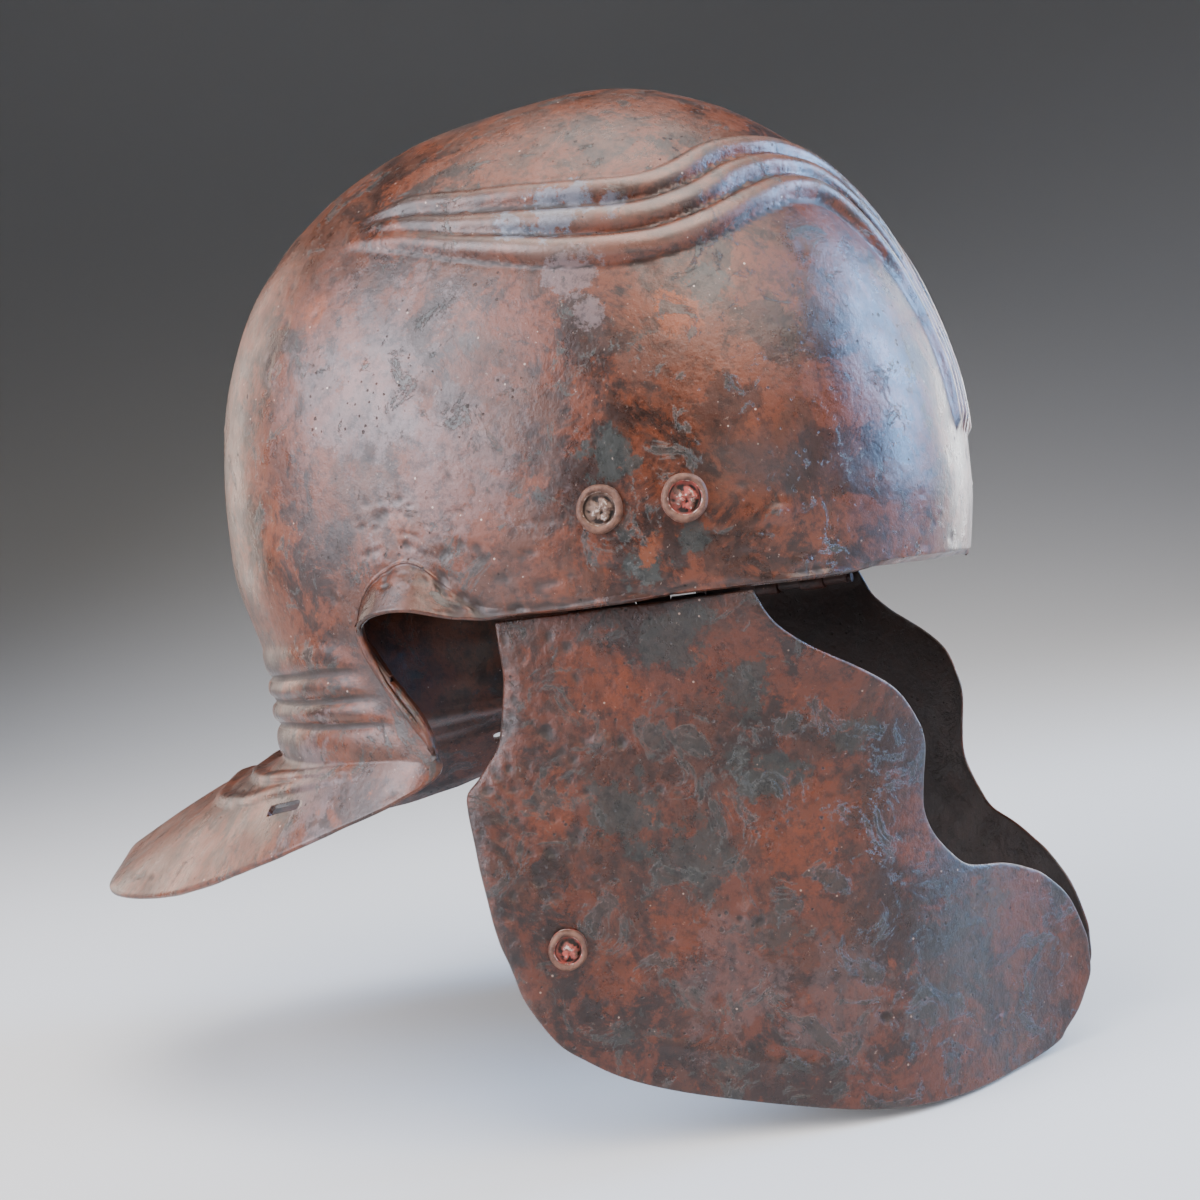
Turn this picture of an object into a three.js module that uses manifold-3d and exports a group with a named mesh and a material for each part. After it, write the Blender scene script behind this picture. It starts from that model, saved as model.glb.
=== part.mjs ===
// Legionary helmet of the Imperial Gallic kind: an iron bowl with embossed eyebrows, flared ear lips,
// a ribbed nape and a sloping neck guard, and two cheek guards that hang on pinned hinges inside the rim.
// Millimetres, +Z up, front towards -Y, the wearer's right side towards -X.
// The origin is the centre of the head opening, in the plane of the rim.

import * as THREE from 'three';
import { mergeVertices } from 'three/addons/utils/BufferGeometryUtils.js';
import Module from 'manifold-3d';

const wasm = await Module();
wasm.setup();

// Driving dimensions, in millimetres and degrees unless a name says share or power

const clearance = 0.3;
const ridgeSink = 1;
const ridgeFootShare = 0.42;
const narrowestRidge = 0.5;
const drillOut = 3;
const drillIn = 6;

const bowl = {
  halfWidth: 98,
  frontReach: 115.3,
  backReach: 115.9,
  centreAhead: 3.5,
  height: 152.8,
  widestLevel: 34.5,
  wall: 1.5,
  crownAhead: 13.7,
  planPower: 2.25,
  frontPower: 1.9,
  sidePower: 2.18,
  backPower: 2.65,
  frontDrawShare: 0.027,
  sideDrawShare: 0.02,
  backDrawShare: 0.051,
  drawSettle: 0.6,
  rimBand: 1.4
};

const ear = { rise: 15, lip: 8, flange: 6 };
const nape = { drop: 35, ribHeight: 1.4, ribWidth: 9, earMargin: 3.5, ribEnd: 0.3, ribGrowth: 3 };
const neckGuard = {
  halfWidth: 97,
  reach: 188.5,
  drop: 76.5,
  arch: 0.085,
  bendShare: 0.32,
  ridgeHeight: 1.8,
  ridgeWidth: 8,
  ringPlace: 12.4,
  ringEnd: 0.2
};
const slot = { length: 17, width: 3.4, place: 13.9, share: 0.6, cutDepth: 12 };
const brow = { ridgeHeight: 3, ridgeWidth: 8.5 };

const guard = {
  length: 150,
  drop: 137,
  plate: 1.2,
  bulge: 1.7,
  bulgeDepth: 150,
  curlStart: 79,
  curlSoftness: 25.5,
  curlSlope: 2.4,
  curlTop: 2,
  curlEase: 6,
  curlFadeDepth: 18,
  curlLimit: 66,
  rearFlare: 5.8,
  flareStart: 10,
  flareRun: 50,
  flareMost: 1.3,
  flareDepth: 60,
  topAboveAxis: 2.2
};

const hinge = {
  ahead: 34,
  inset: 10.5,
  yaw: 12,
  axisBelowRim: 3.7,
  pinRadius: 0.9,
  boreClearance: 0.3,
  leafKnuckleRadius: 1.9,
  guardKnuckleRadius: 2.9,
  plateBow: 0.4,
  knuckleLength: 9,
  knuckleCount: 5,
  centreAlong: 11,
  faceAllowance: 0.3,
  leafSheet: 1,
  leafTop: 32,
  leafBottom: 5,
  jogStart: 4.6,
  jogDrop: 0.5,
  strapLap: 3.5,
  strapChamfer: 0.8,
  strapMargin: 0.25,
  pinHeadRadius: 1.7,
  pinHead: 1.2
};

const rivet = {
  shank: 2,
  head: 6,
  core: 3.9,
  headRise: 1.7,
  innerHead: 3.6,
  innerRise: 1.2,
  innerTaper: 0.8,
  seatAllowance: 0.12,
  skirt: 0.3
};
const tieRivet = { along: -21.8, down: 83, head: 5.2, core: 3.3 };

// Rise of a rivet's head over its core, its moat, its ring and its skirt, as shares of the full rise,
// and how far out the flat of the core and the ring's crest lie
const rivetRise = { core: 0.55, moat: 0.35, skirt: 0.6 };
const rivetReach = { coreFlat: 0.6, crest: 0.4 };

// Columns of the bowl from the front to the back: how many steps the net takes to the next one, where
// each leaves the widest level, where it meets the crease (foot) and how the lip below the crease runs.
// Levels are shares of ear.rise when above the rim plane and of nape.drop when below it, lips are shares
// of ear.lip, and the last columns give the neck guard's free edge as shares of its width, reach and drop.
const columns = [
  { steps: 5, shoulder: 0, foot: 0, level: 0, lip: 0, ahead: 0, edgeLevel: 0 },
  { steps: 4, shoulder: 40, foot: 40, level: 0, lip: 0, ahead: 0, edgeLevel: 0 },
  { steps: 3, shoulder: 70, foot: 71, level: 0, lip: 0, ahead: 0, edgeLevel: 0 },
  { steps: 2, shoulder: 86, foot: 88, level: 0.02, lip: 0.02, ahead: 0, edgeLevel: 0 },
  { steps: 2, shoulder: 91.5, foot: 92.5, level: 0.38, lip: 0.38, ahead: 0, edgeLevel: 0.08 },
  { steps: 2, shoulder: 96, foot: 97, level: 0.98, lip: 1, ahead: 0, edgeLevel: 0.3 },
  { steps: 2, shoulder: 101, foot: 101.5, level: 0.9, lip: 1, ahead: 0.05, edgeLevel: 0.32 },
  { steps: 2, shoulder: 106, foot: 105.8, level: 0.46, lip: 0.75, ahead: 0.3, edgeLevel: 0.2 },
  { steps: 2, shoulder: 111, foot: 107.6, level: -0.03, lip: 0.5, ahead: 0.4, edgeLevel: -0.03 },
  { steps: 2, shoulder: 116, foot: 105.5, level: -0.37, lip: 0.36, ahead: 0.3, edgeLevel: -0.36 },
  { steps: 2, shoulder: 121, foot: 101.5, level: -0.71, lip: 0.36, ahead: 0.25, edgeLevel: -0.71 },
  { steps: 2, shoulder: 126, foot: 98.3, level: -1, wide: 0.95, back: 0.084, down: 0.49 },
  { steps: 2, shoulder: 131, foot: 106, level: -1, wide: 1, back: 0.155, down: 0.59 },
  { steps: 2, shoulder: 138, foot: 117, level: -1, wide: 0.99, back: 0.262, down: 0.675 },
  { steps: 2, shoulder: 148, foot: 133, level: -1, wide: 0.94, back: 0.405, down: 0.78 },
  { steps: 3, shoulder: 159, foot: 151, level: -1, wide: 0.78, back: 0.636, down: 0.92 },
  { steps: 3, shoulder: 170, foot: 167, level: -1, wide: 0.5, back: 0.875, down: 0.955 },
  { steps: 0, shoulder: 180, foot: 180, level: -1, wide: 0, back: 1, down: 0.855 }
];

// Crest lines of the three ridges of one eyebrow: azimuth from the front and level as a share of the
// bowl's height, with the ridge's size at that place as a share of the full size.
const browRidges = [
  [
    { azimuth: 112, level: 0.74, size: 0.25 },
    { azimuth: 102, level: 0.742, size: 0.55 },
    { azimuth: 89, level: 0.716, size: 0.75 },
    { azimuth: 77, level: 0.694, size: 0.8 },
    { azimuth: 66, level: 0.683, size: 0.9 },
    { azimuth: 59, level: 0.7, size: 1 },
    { azimuth: 50, level: 0.741, size: 1 },
    { azimuth: 38, level: 0.757, size: 1 },
    { azimuth: 26, level: 0.752, size: 1 },
    { azimuth: 16, level: 0.72, size: 0.85 },
    { azimuth: 9, level: 0.63, size: 0.7 },
    { azimuth: 4.5, level: 0.5, size: 0.5 },
    { azimuth: 2.2, level: 0.36, size: 0.6 },
    { azimuth: 1.8, level: 0.26, size: 0.55 }
  ],
  [
    { azimuth: 110, level: 0.71, size: 0.25 },
    { azimuth: 100, level: 0.7, size: 0.55 },
    { azimuth: 88, level: 0.663, size: 0.8 },
    { azimuth: 76, level: 0.637, size: 0.9 },
    { azimuth: 66, level: 0.628, size: 1 },
    { azimuth: 57, level: 0.652, size: 1 },
    { azimuth: 47, level: 0.699, size: 1 },
    { azimuth: 36, level: 0.717, size: 1 },
    { azimuth: 25, level: 0.706, size: 1 },
    { azimuth: 17, level: 0.66, size: 0.85 },
    { azimuth: 11, level: 0.57, size: 0.7 },
    { azimuth: 7, level: 0.46, size: 0.5 },
    { azimuth: 4.9, level: 0.36, size: 0.6 },
    { azimuth: 4.4, level: 0.26, size: 0.5 }
  ],
  [
    { azimuth: 108, level: 0.685, size: 0.25 },
    { azimuth: 98, level: 0.665, size: 0.6 },
    { azimuth: 86, level: 0.612, size: 0.9 },
    { azimuth: 76, level: 0.582, size: 1 },
    { azimuth: 65, level: 0.576, size: 1 },
    { azimuth: 56, level: 0.6, size: 1 },
    { azimuth: 46, level: 0.643, size: 1 },
    { azimuth: 36, level: 0.672, size: 1 },
    { azimuth: 27, level: 0.662, size: 1 },
    { azimuth: 20, level: 0.61, size: 0.85 },
    { azimuth: 14, level: 0.53, size: 0.7 },
    { azimuth: 9.8, level: 0.43, size: 0.55 },
    { azimuth: 7.6, level: 0.34, size: 0.6 },
    { azimuth: 7, level: 0.25, size: 0.5 }
  ]
];

// Crests of the nape ribs as shares of nape.drop, and the half rings embossed on the neck guard as
// shares of the way from the crease to the free edge.
const napeRibs = [
  { level: 0.2, size: 0.85 },
  { level: 0.5, size: 1 },
  { level: 0.83, size: 1 }
];
const guardRings = [
  { atBack: 0.3, atSide: 0.2, size: 1 },
  { atBack: 0.52, atSide: 0.3, size: 0.8 }
];

// Outline of a cheek guard: for each level below the hinge axis, where its rear and front edges lie
// along the hinge. Depths are shares of guard.drop and places along are shares of guard.length.
const guardOutline = [
  { down: 0, rear: -0.199, front: 0.243 },
  { down: 0.045, rear: -0.197, front: 0.27 },
  { down: 0.09, rear: -0.198, front: 0.313 },
  { down: 0.12, rear: -0.202, front: 0.354 },
  { down: 0.15, rear: -0.207, front: 0.398 },
  { down: 0.188, rear: -0.214, front: 0.445 },
  { down: 0.222, rear: -0.225, front: 0.471 },
  { down: 0.272, rear: -0.26, front: 0.492 },
  { down: 0.297, rear: -0.281, front: 0.498 },
  { down: 0.33, rear: -0.283, front: 0.498 },
  { down: 0.395, rear: -0.277, front: 0.488 },
  { down: 0.443, rear: -0.273, front: 0.484 },
  { down: 0.49, rear: -0.268, front: 0.496 },
  { down: 0.54, rear: -0.263, front: 0.525 },
  { down: 0.572, rear: -0.258, front: 0.555 },
  { down: 0.592, rear: -0.254, front: 0.62 },
  { down: 0.62, rear: -0.246, front: 0.672 },
  { down: 0.645, rear: -0.24, front: 0.704 },
  { down: 0.7, rear: -0.226, front: 0.744 },
  { down: 0.78, rear: -0.183, front: 0.768 },
  { down: 0.82, rear: -0.14, front: 0.77 },
  { down: 0.862, rear: -0.08, front: 0.768 },
  { down: 0.9, rear: 0.01, front: 0.752 },
  { down: 0.935, rear: 0.135, front: 0.733 },
  { down: 0.965, rear: 0.255, front: 0.705 },
  { down: 0.985, rear: 0.36, front: 0.685 },
  { down: 1, rear: 0.5, front: 0.62 }
];

// How finely the curved surfaces are divided
const domeRows = 8;
const wallRows = 5;
const lipRows = 3;
const ridgeSteps = 14;
const guardSpans = 8;
const roundSides = 12;
const bowlTolerance = 0.08;
const plateTolerance = 0.02;

const iron = { color: 0x6b4a3e, roughness: 0.55, metalness: 0.6 };
const darkIron = { color: 0x4a3630, roughness: 0.65, metalness: 0.5 };
const rivetIron = { color: 0x8a6a5c, roughness: 0.7, metalness: 0.4 };

// Small helpers

const radians = THREE.MathUtils.degToRad;
const lerp = THREE.MathUtils.lerp;

function signedPower(value, power) {
  return Math.sign(value) * Math.abs(value) ** power;
}

// Smooth curve through a list of evenly counted values
function throughValues(values, place) {
  const last = values.length - 1;
  const i = Math.min(Math.floor(place), last - 1);
  const u = place - i;
  const p1 = values[i];
  const p2 = values[i + 1];
  const p0 = i > 0 ? values[i - 1] : p1;
  const p3 = i + 2 <= last ? values[i + 2] : p2;
  const bend = (2 * p0 - 5 * p1 + 4 * p2 - p3) * u * u;
  return 0.5 * (2 * p1 + (p2 - p0) * u + bend + (3 * p1 - p0 - 3 * p2 + p3) * u ** 3);
}

// A closed mesh from a list of corner points and a list of triangles
function closedGeometry(points, triangles) {
  const geometry = new THREE.BufferGeometry();
  const flat = points.flatMap((p) => [p.x, p.y, p.z]);
  geometry.setAttribute('position', new THREE.Float32BufferAttribute(flat, 3));
  geometry.setIndex(triangles.flat());
  return geometry;
}

function toSolid(geometry) {
  const plain = geometry.clone();
  plain.deleteAttribute('normal');
  plain.deleteAttribute('uv');
  const merged = mergeVertices(plain, 1e-4);
  const mesh = new wasm.Mesh({
    numProp: 3,
    vertProperties: new Float32Array(merged.getAttribute('position').array),
    triVerts: new Uint32Array(merged.getIndex().array)
  });
  return new wasm.Manifold(mesh);
}

function toGeometry(solid) {
  const mesh = solid.getMesh();
  const geometry = new THREE.BufferGeometry();
  geometry.setAttribute('position', new THREE.BufferAttribute(new Float32Array(mesh.vertProperties), 3));
  geometry.setIndex(new THREE.BufferAttribute(new Uint32Array(mesh.triVerts), 1));
  return geometry;
}

// Joined ridges can shut a sliver of air in between them: only the outer body is kept
function withoutSlivers(solid) {
  return solid.decompose().reduce((best, body) => (body.volume() > best.volume() ? body : best));
}

// Turns a geometry inside out, as a mirrored copy needs
function mirrored(geometry) {
  const copy = geometry.clone();
  copy.scale(-1, 1, 1);
  const index = copy.getIndex().array;
  for (let i = 0; i < index.length; i += 3) {
    const swap = index[i];
    index[i] = index[i + 1];
    index[i + 1] = swap;
  }
  return copy;
}

// The bowl's skin: a point of the outer surface from its azimuth (from the front, towards the
// wearer's left) and its level above the rim plane.

function drawShare(level) {
  const depth = Math.max(0, (bowl.widestLevel - level) / bowl.widestLevel);
  return ((1 + bowl.drawSettle) * depth ** 4) / (bowl.drawSettle + depth ** 4);
}

function skin(azimuth, level) {
  const angle = radians(azimuth);
  const frontWeight = Math.max(Math.cos(angle), 0) ** 2;
  const backWeight = Math.max(-Math.cos(angle), 0) ** 2;
  const sideWeight = 1 - frontWeight - backWeight;
  const across = bowl.halfWidth * signedPower(Math.sin(angle), 2 / bowl.planPower);
  const reach = Math.cos(angle) > 0 ? bowl.frontReach : bowl.backReach;
  const ahead = reach * signedPower(Math.cos(angle), 2 / bowl.planPower);
  const power = bowl.frontPower * frontWeight + bowl.sidePower * sideWeight + bowl.backPower * backWeight;
  const draw = bowl.frontDrawShare * frontWeight + bowl.sideDrawShare * sideWeight
    + bowl.backDrawShare * backWeight;
  const lift = THREE.MathUtils.clamp((level - bowl.widestLevel) / (bowl.height - bowl.widestLevel), 0, 1);
  const round = (1 - lift ** power) ** (1 / power);
  const scale = round - draw * drawShare(level);
  return new THREE.Vector3(
    across * scale,
    -(bowl.centreAhead + ahead * scale + bowl.crownAhead * lift ** 2),
    level
  );
}

function skinNormal(azimuth, level) {
  const step = 0.05;
  const low = Math.min(level, bowl.height - 2 * step);
  const alongAzimuth = skin(azimuth + step, low).sub(skin(azimuth - step, low));
  const alongLevel = skin(azimuth, low + step).sub(skin(azimuth, low - step));
  return alongAzimuth.cross(alongLevel).normalize();
}

// Levels of a column's points on the dome, closer together near the crown
function domeLevel(row) {
  const angle = (Math.PI / 2) * (row / domeRows);
  return bowl.widestLevel + (bowl.height - bowl.widestLevel) * Math.cos(angle);
}

// Foot and free edge of each listed column, ready to be joined by smooth curves
const feet = columns.map((column) => {
  const size = column.level >= 0 ? ear.rise : nape.drop;
  const rise = column.level * size;
  const footLevel = column.level >= 0 ? rise + bowl.rimBand : rise;
  let edge;
  if (column.wide === undefined) {
    const edgeSize = column.edgeLevel >= 0 ? ear.rise : nape.drop;
    const outward = skinNormal(column.foot, footLevel).setZ(0).normalize();
    edge = skin(column.foot, Math.min(footLevel, 0)).setZ(column.edgeLevel * edgeSize);
    edge.addScaledVector(outward, column.lip * ear.lip);
    edge.y -= column.ahead * ear.flange;
  } else {
    edge = new THREE.Vector3(
      column.wide * neckGuard.halfWidth,
      column.back * neckGuard.reach,
      -column.down * neckGuard.drop
    );
  }
  return { shoulder: column.shoulder, foot: column.foot, level: footLevel, edge };
});

function columnAt(place) {
  const pick = (read) => throughValues(feet.map(read), place);
  return {
    shoulder: pick((foot) => foot.shoulder),
    foot: pick((foot) => foot.foot),
    level: pick((foot) => foot.level),
    edge: new THREE.Vector3(
      pick((foot) => foot.edge.x),
      pick((foot) => foot.edge.y),
      pick((foot) => foot.edge.z)
    )
  };
}

// Point of the lip or neck guard: share 0 is the crease, share 1 the free edge
function lipPoint(column, share) {
  const foot = skin(column.foot, column.level);
  const reach = column.edge.clone().sub(foot);
  const bend = foot.clone().addScaledVector(reach, neckGuard.bendShare);
  bend.z += neckGuard.arch * Math.hypot(reach.x, reach.y);
  const first = foot.clone().lerp(bend, share);
  const second = bend.clone().lerp(column.edge, share);
  return first.lerp(second, share);
}

// All points of one column, from the crown to the free edge
function columnPoints(place) {
  const column = columnAt(place);
  const points = [];
  for (let row = 1; row <= domeRows; row += 1) {
    points.push(skin(column.shoulder, domeLevel(row)));
  }
  for (let row = 1; row <= wallRows; row += 1) {
    const share = row / wallRows;
    const ease = share * share * (3 - 2 * share);
    const azimuth = lerp(column.shoulder, column.foot, ease);
    points.push(skin(azimuth, lerp(bowl.widestLevel, column.level, share)));
  }
  for (let row = 1; row <= lipRows; row += 1) {
    points.push(lipPoint(column, row / lipRows));
  }
  return points;
}

// The smooth shell: an outer and an inner skin on one net of columns and rows, joined at the free edge
function shellGeometry() {
  const half = [];
  columns.forEach((column, i) => {
    for (let k = 0; k < column.steps; k += 1) {
      half.push(columnPoints(i + k / column.steps));
    }
  });
  const otherSide = (p) => new THREE.Vector3(-p.x, p.y, p.z);
  const other = half.slice(1).reverse().map((list) => list.map(otherSide));
  half.push(columnPoints(columns.length - 1));
  const net = half.concat(other);
  const count = net.length;
  const rows = net[0].length;
  const crown = skin(0, bowl.height);
  const normals = net.map((list, c) => list.map((p, r) => {
    const before = net[(c + count - 1) % count][r];
    const after = net[(c + 1) % count][r];
    const above = r > 0 ? list[r - 1] : crown;
    const below = r < rows - 1 ? list[r + 1] : p;
    return after.clone().sub(before).cross(above.clone().sub(below)).normalize();
  }));
  const points = [crown, crown.clone().setZ(crown.z - bowl.wall)];
  net.forEach((list) => points.push(...list));
  net.forEach((list, c) => list.forEach((p, r) => {
    points.push(p.clone().addScaledVector(normals[c][r], -bowl.wall));
  }));
  const outer = (c, r) => 2 + (c % count) * rows + r;
  const inner = (c, r) => outer(c, r) + count * rows;
  const triangles = [];
  for (let c = 0; c < count; c += 1) {
    triangles.push([0, outer(c, 0), outer(c + 1, 0)]);
    triangles.push([1, inner(c + 1, 0), inner(c, 0)]);
    for (let r = 0; r < rows - 1; r += 1) {
      triangles.push([outer(c, r), outer(c, r + 1), outer(c + 1, r + 1)]);
      triangles.push([outer(c, r), outer(c + 1, r + 1), outer(c + 1, r)]);
      triangles.push([inner(c, r), inner(c + 1, r + 1), inner(c, r + 1)]);
      triangles.push([inner(c, r), inner(c + 1, r), inner(c + 1, r + 1)]);
    }
    triangles.push([outer(c, rows - 1), inner(c, rows - 1), inner(c + 1, rows - 1)]);
    triangles.push([outer(c, rows - 1), inner(c + 1, rows - 1), outer(c + 1, rows - 1)]);
  }
  return closedGeometry(points, triangles);
}

// A ridge narrows with its height, but never under its narrowest share
function ridgeWidth(full, size) {
  return full * lerp(narrowestRidge, 1, size);
}

// A raised ridge along a line on a surface: stations give a point, the way up from the surface,
// and the ridge's width and height there. The foot of the ridge is sunk into the wall.
function ridgeGeometry(stations) {
  const profile = [
    { across: -0.5, up: 0 },
    { across: -0.16, up: 0.9 },
    { across: 0.16, up: 0.9 },
    { across: 0.5, up: 0 }
  ];
  const points = [];
  stations.forEach((station, i) => {
    const before = stations[Math.max(i - 1, 0)].point;
    const after = stations[Math.min(i + 1, stations.length - 1)].point;
    const along = after.clone().sub(before).normalize();
    const sideways = along.clone().cross(station.up).normalize();
    profile.forEach(({ across, up }) => {
      const p = station.point.clone().addScaledVector(sideways, across * station.width);
      const sag = (across * station.width) ** 2 / (2 * bowl.halfWidth);
      points.push(p.addScaledVector(station.up, up * station.height - sag));
    });
    [1, -1].forEach((side) => {
      const foot = station.point.clone().addScaledVector(station.up, -ridgeSink);
      points.push(foot.addScaledVector(sideways, side * ridgeFootShare * station.width));
    });
  });
  const size = profile.length + 2;
  const triangles = [];
  for (let i = 0; i < stations.length - 1; i += 1) {
    for (let k = 0; k < size; k += 1) {
      const next = (k + 1) % size;
      const a = i * size + k;
      const b = i * size + next;
      triangles.push([a, b, b + size]);
      triangles.push([a, b + size, a + size]);
    }
  }
  const end = (stations.length - 1) * size;
  for (let k = 1; k < size - 1; k += 1) {
    triangles.push([0, k + 1, k]);
    triangles.push([end, end + k, end + k + 1]);
  }
  return closedGeometry(points, triangles);
}

function browGeometries() {
  return browRidges.map((ridge) => {
    const stations = [];
    for (let i = 0; i <= ridgeSteps; i += 1) {
      const place = ((ridge.length - 1) * i) / ridgeSteps;
      const azimuth = throughValues(ridge.map((row) => row.azimuth), place);
      const level = bowl.height * throughValues(ridge.map((row) => row.level), place);
      const size = throughValues(ridge.map((row) => row.size), place);
      stations.push({
        point: skin(azimuth, level),
        up: skinNormal(azimuth, level),
        width: ridgeWidth(brow.ridgeWidth, size),
        height: brow.ridgeHeight * size
      });
    }
    return ridgeGeometry(stations);
  });
}

// Azimuth at which the ear's rear edge crosses a level, so that the nape ribs end just behind it
function earEdgeAzimuth(level) {
  const firstBehind = columns.findIndex((column) => column.level < 0);
  const rear = feet.slice(firstBehind, columns.findIndex((column) => column.level === -1) + 1);
  for (let i = 0; i < rear.length - 1; i += 1) {
    if (level <= rear[i].level && level >= rear[i + 1].level) {
      const share = (rear[i].level - level) / (rear[i].level - rear[i + 1].level);
      return lerp(rear[i].foot, rear[i + 1].foot, share);
    }
  }
  return rear[0].foot;
}

function napeRibGeometries() {
  return napeRibs.map((rib) => {
    const level = -rib.level * nape.drop;
    const start = earEdgeAzimuth(level) + nape.earMargin;
    const stations = [];
    for (let i = 0; i <= ridgeSteps; i += 1) {
      const azimuth = lerp(start, 360 - start, i / ridgeSteps);
      const fade = Math.min(1, nape.ribEnd + (nape.ribGrowth * Math.min(i, ridgeSteps - i)) / ridgeSteps);
      stations.push({
        point: skin(azimuth, level),
        up: skinNormal(azimuth, level),
        width: nape.ribWidth,
        height: nape.ribHeight * rib.size * fade
      });
    }
    return ridgeGeometry(stations);
  });
}

// Point and upward normal on the neck guard for a column place and a share of the way out.
// Places past the middle of the back come back along the other side.
function guardPlace(place, share) {
  const last = columns.length - 1;
  const side = place > last ? -1 : 1;
  const own = place > last ? 2 * last - place : place;
  const step = 0.05;
  const at = (p, s) => lipPoint(columnAt(Math.min(p, last)), s);
  const point = at(own, share);
  const acrossWay = at(Math.min(own + step, last), share).sub(at(own - step, share));
  const outWay = at(own, share + step).sub(at(own, share - step));
  const up = acrossWay.cross(outWay).normalize();
  if (up.z < 0) up.negate();
  return {
    point: new THREE.Vector3(side * point.x, point.y, point.z),
    up: new THREE.Vector3(side * up.x, up.y, up.z)
  };
}

function guardRingGeometries() {
  const first = neckGuard.ringPlace;
  const last = 2 * (columns.length - 1) - first;
  return guardRings.map((ring) => {
    const stations = [];
    for (let i = 0; i <= ridgeSteps; i += 1) {
      const round = Math.sin((Math.PI * i) / ridgeSteps);
      const share = lerp(ring.atSide, ring.atBack, round);
      const spot = guardPlace(lerp(first, last, i / ridgeSteps), share);
      const size = ring.size * lerp(neckGuard.ringEnd, 1, round);
      stations.push({
        point: spot.point,
        up: spot.up,
        width: ridgeWidth(neckGuard.ridgeWidth, size),
        height: neckGuard.ridgeHeight * size
      });
    }
    return ridgeGeometry(stations);
  });
}

// A cylinder along a direction, as a cutter or a shank
function rodGeometry(radius, from, to) {
  const way = to.clone().sub(from);
  const geometry = new THREE.CylinderGeometry(radius, radius, way.length(), roundSides);
  geometry.applyQuaternion(new THREE.Quaternion().setFromUnitVectors(
    new THREE.Vector3(0, 1, 0),
    way.clone().normalize()
  ));
  const middle = from.clone().add(to).multiplyScalar(0.5);
  geometry.translate(middle.x, middle.y, middle.z);
  return geometry;
}

// The hinge frame of the wearer's left side: along the hinge towards the front, outwards, and up
const hingeYaw = radians(hinge.yaw);
const hingeAlong = new THREE.Vector3(-Math.sin(hingeYaw), -Math.cos(hingeYaw), 0);
const hingeOut = new THREE.Vector3(Math.cos(hingeYaw), -Math.sin(hingeYaw), 0);
const plateMiddle = new THREE.Vector3(bowl.halfWidth - hinge.inset, -hinge.ahead, -hinge.axisBelowRim);
const axisInset = hinge.leafKnuckleRadius + clearance + hinge.plateBow + guard.plate / 2;
const leafDepth = bowl.wall + clearance + hinge.faceAllowance;

function fromHinge(along, out, up) {
  return plateMiddle.clone()
    .addScaledVector(hingeAlong, along)
    .addScaledVector(hingeOut, out)
    .add(new THREE.Vector3(0, 0, up));
}

// Azimuth at which the skin at a level meets the hinge frame's place along
function azimuthAlong(along, level) {
  let low = 20;
  let high = 100;
  for (let i = 0; i < 30; i += 1) {
    const middle = (low + high) / 2;
    const reached = skin(middle, level).sub(plateMiddle).dot(hingeAlong);
    if (reached > along) {
      low = middle;
    } else {
      high = middle;
    }
  }
  return (low + high) / 2;
}

const rivetPlaces = [
  { along: 2, level: 23 },
  { along: 23, level: 23 }
];

function rivetSpots() {
  return rivetPlaces.map((place) => {
    const azimuth = azimuthAlong(place.along, place.level);
    return { point: skin(azimuth, place.level), out: skinNormal(azimuth, place.level) };
  });
}

function rivetGeometry(head, core, grip) {
  const rise = rivet.headRise;
  const lift = clearance + rivet.seatAllowance;
  const profile = [
    [0, rise * rivetRise.core + lift],
    [core * rivetReach.coreFlat, rise * rivetRise.core + lift],
    [core, rise * rivetRise.moat + lift],
    [lerp(core, head, rivetReach.crest), rise + lift],
    [head - rivet.skirt, rise * rivetRise.skirt + lift],
    [head, lift],
    [rivet.shank, lift],
    [rivet.shank, -grip],
    [rivet.innerHead, -grip],
    [rivet.innerHead * rivet.innerTaper, -grip - rivet.innerRise],
    [0, -grip - rivet.innerRise]
  ];
  const points = profile.map(([radius, height]) => new THREE.Vector2(radius, height)).reverse();
  return new THREE.LatheGeometry(points, roundSides);
}

// The cutter for a rivet's hole, through every sheet behind the spot
function holeGeometry(spot) {
  const from = spot.point.clone().addScaledVector(spot.out, drillOut);
  const to = spot.point.clone().addScaledVector(spot.out, -drillIn);
  return rodGeometry(rivet.shank + clearance, from, to);
}

function placeOn(geometry, spot) {
  geometry.applyQuaternion(new THREE.Quaternion().setFromUnitVectors(new THREE.Vector3(0, 1, 0), spot.out));
  geometry.translate(spot.point.x, spot.point.y, spot.point.z);
  return geometry;
}

// Hinge knuckles, counted from the rear: even ones belong to the leaf, odd ones to the cheek guard
function knuckleSpan(index) {
  const total = hinge.knuckleCount * hinge.knuckleLength;
  const start = hinge.centreAlong - total / 2 + index * hinge.knuckleLength;
  return { from: start + clearance / 2, to: start + hinge.knuckleLength - clearance / 2 };
}

function knuckleSolid(index, radius) {
  const span = knuckleSpan(index);
  const from = fromHinge(span.from, -axisInset, 0);
  const to = fromHinge(span.to, -axisInset, 0);
  return toSolid(rodGeometry(radius, from, to));
}

function boreSolid() {
  const overrun = 2;
  const from = fromHinge(knuckleSpan(0).from - overrun, -axisInset, 0);
  const to = fromHinge(knuckleSpan(hinge.knuckleCount - 1).to + overrun, -axisInset, 0);
  return toSolid(rodGeometry(hinge.pinRadius + hinge.boreClearance, from, to));
}

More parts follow.
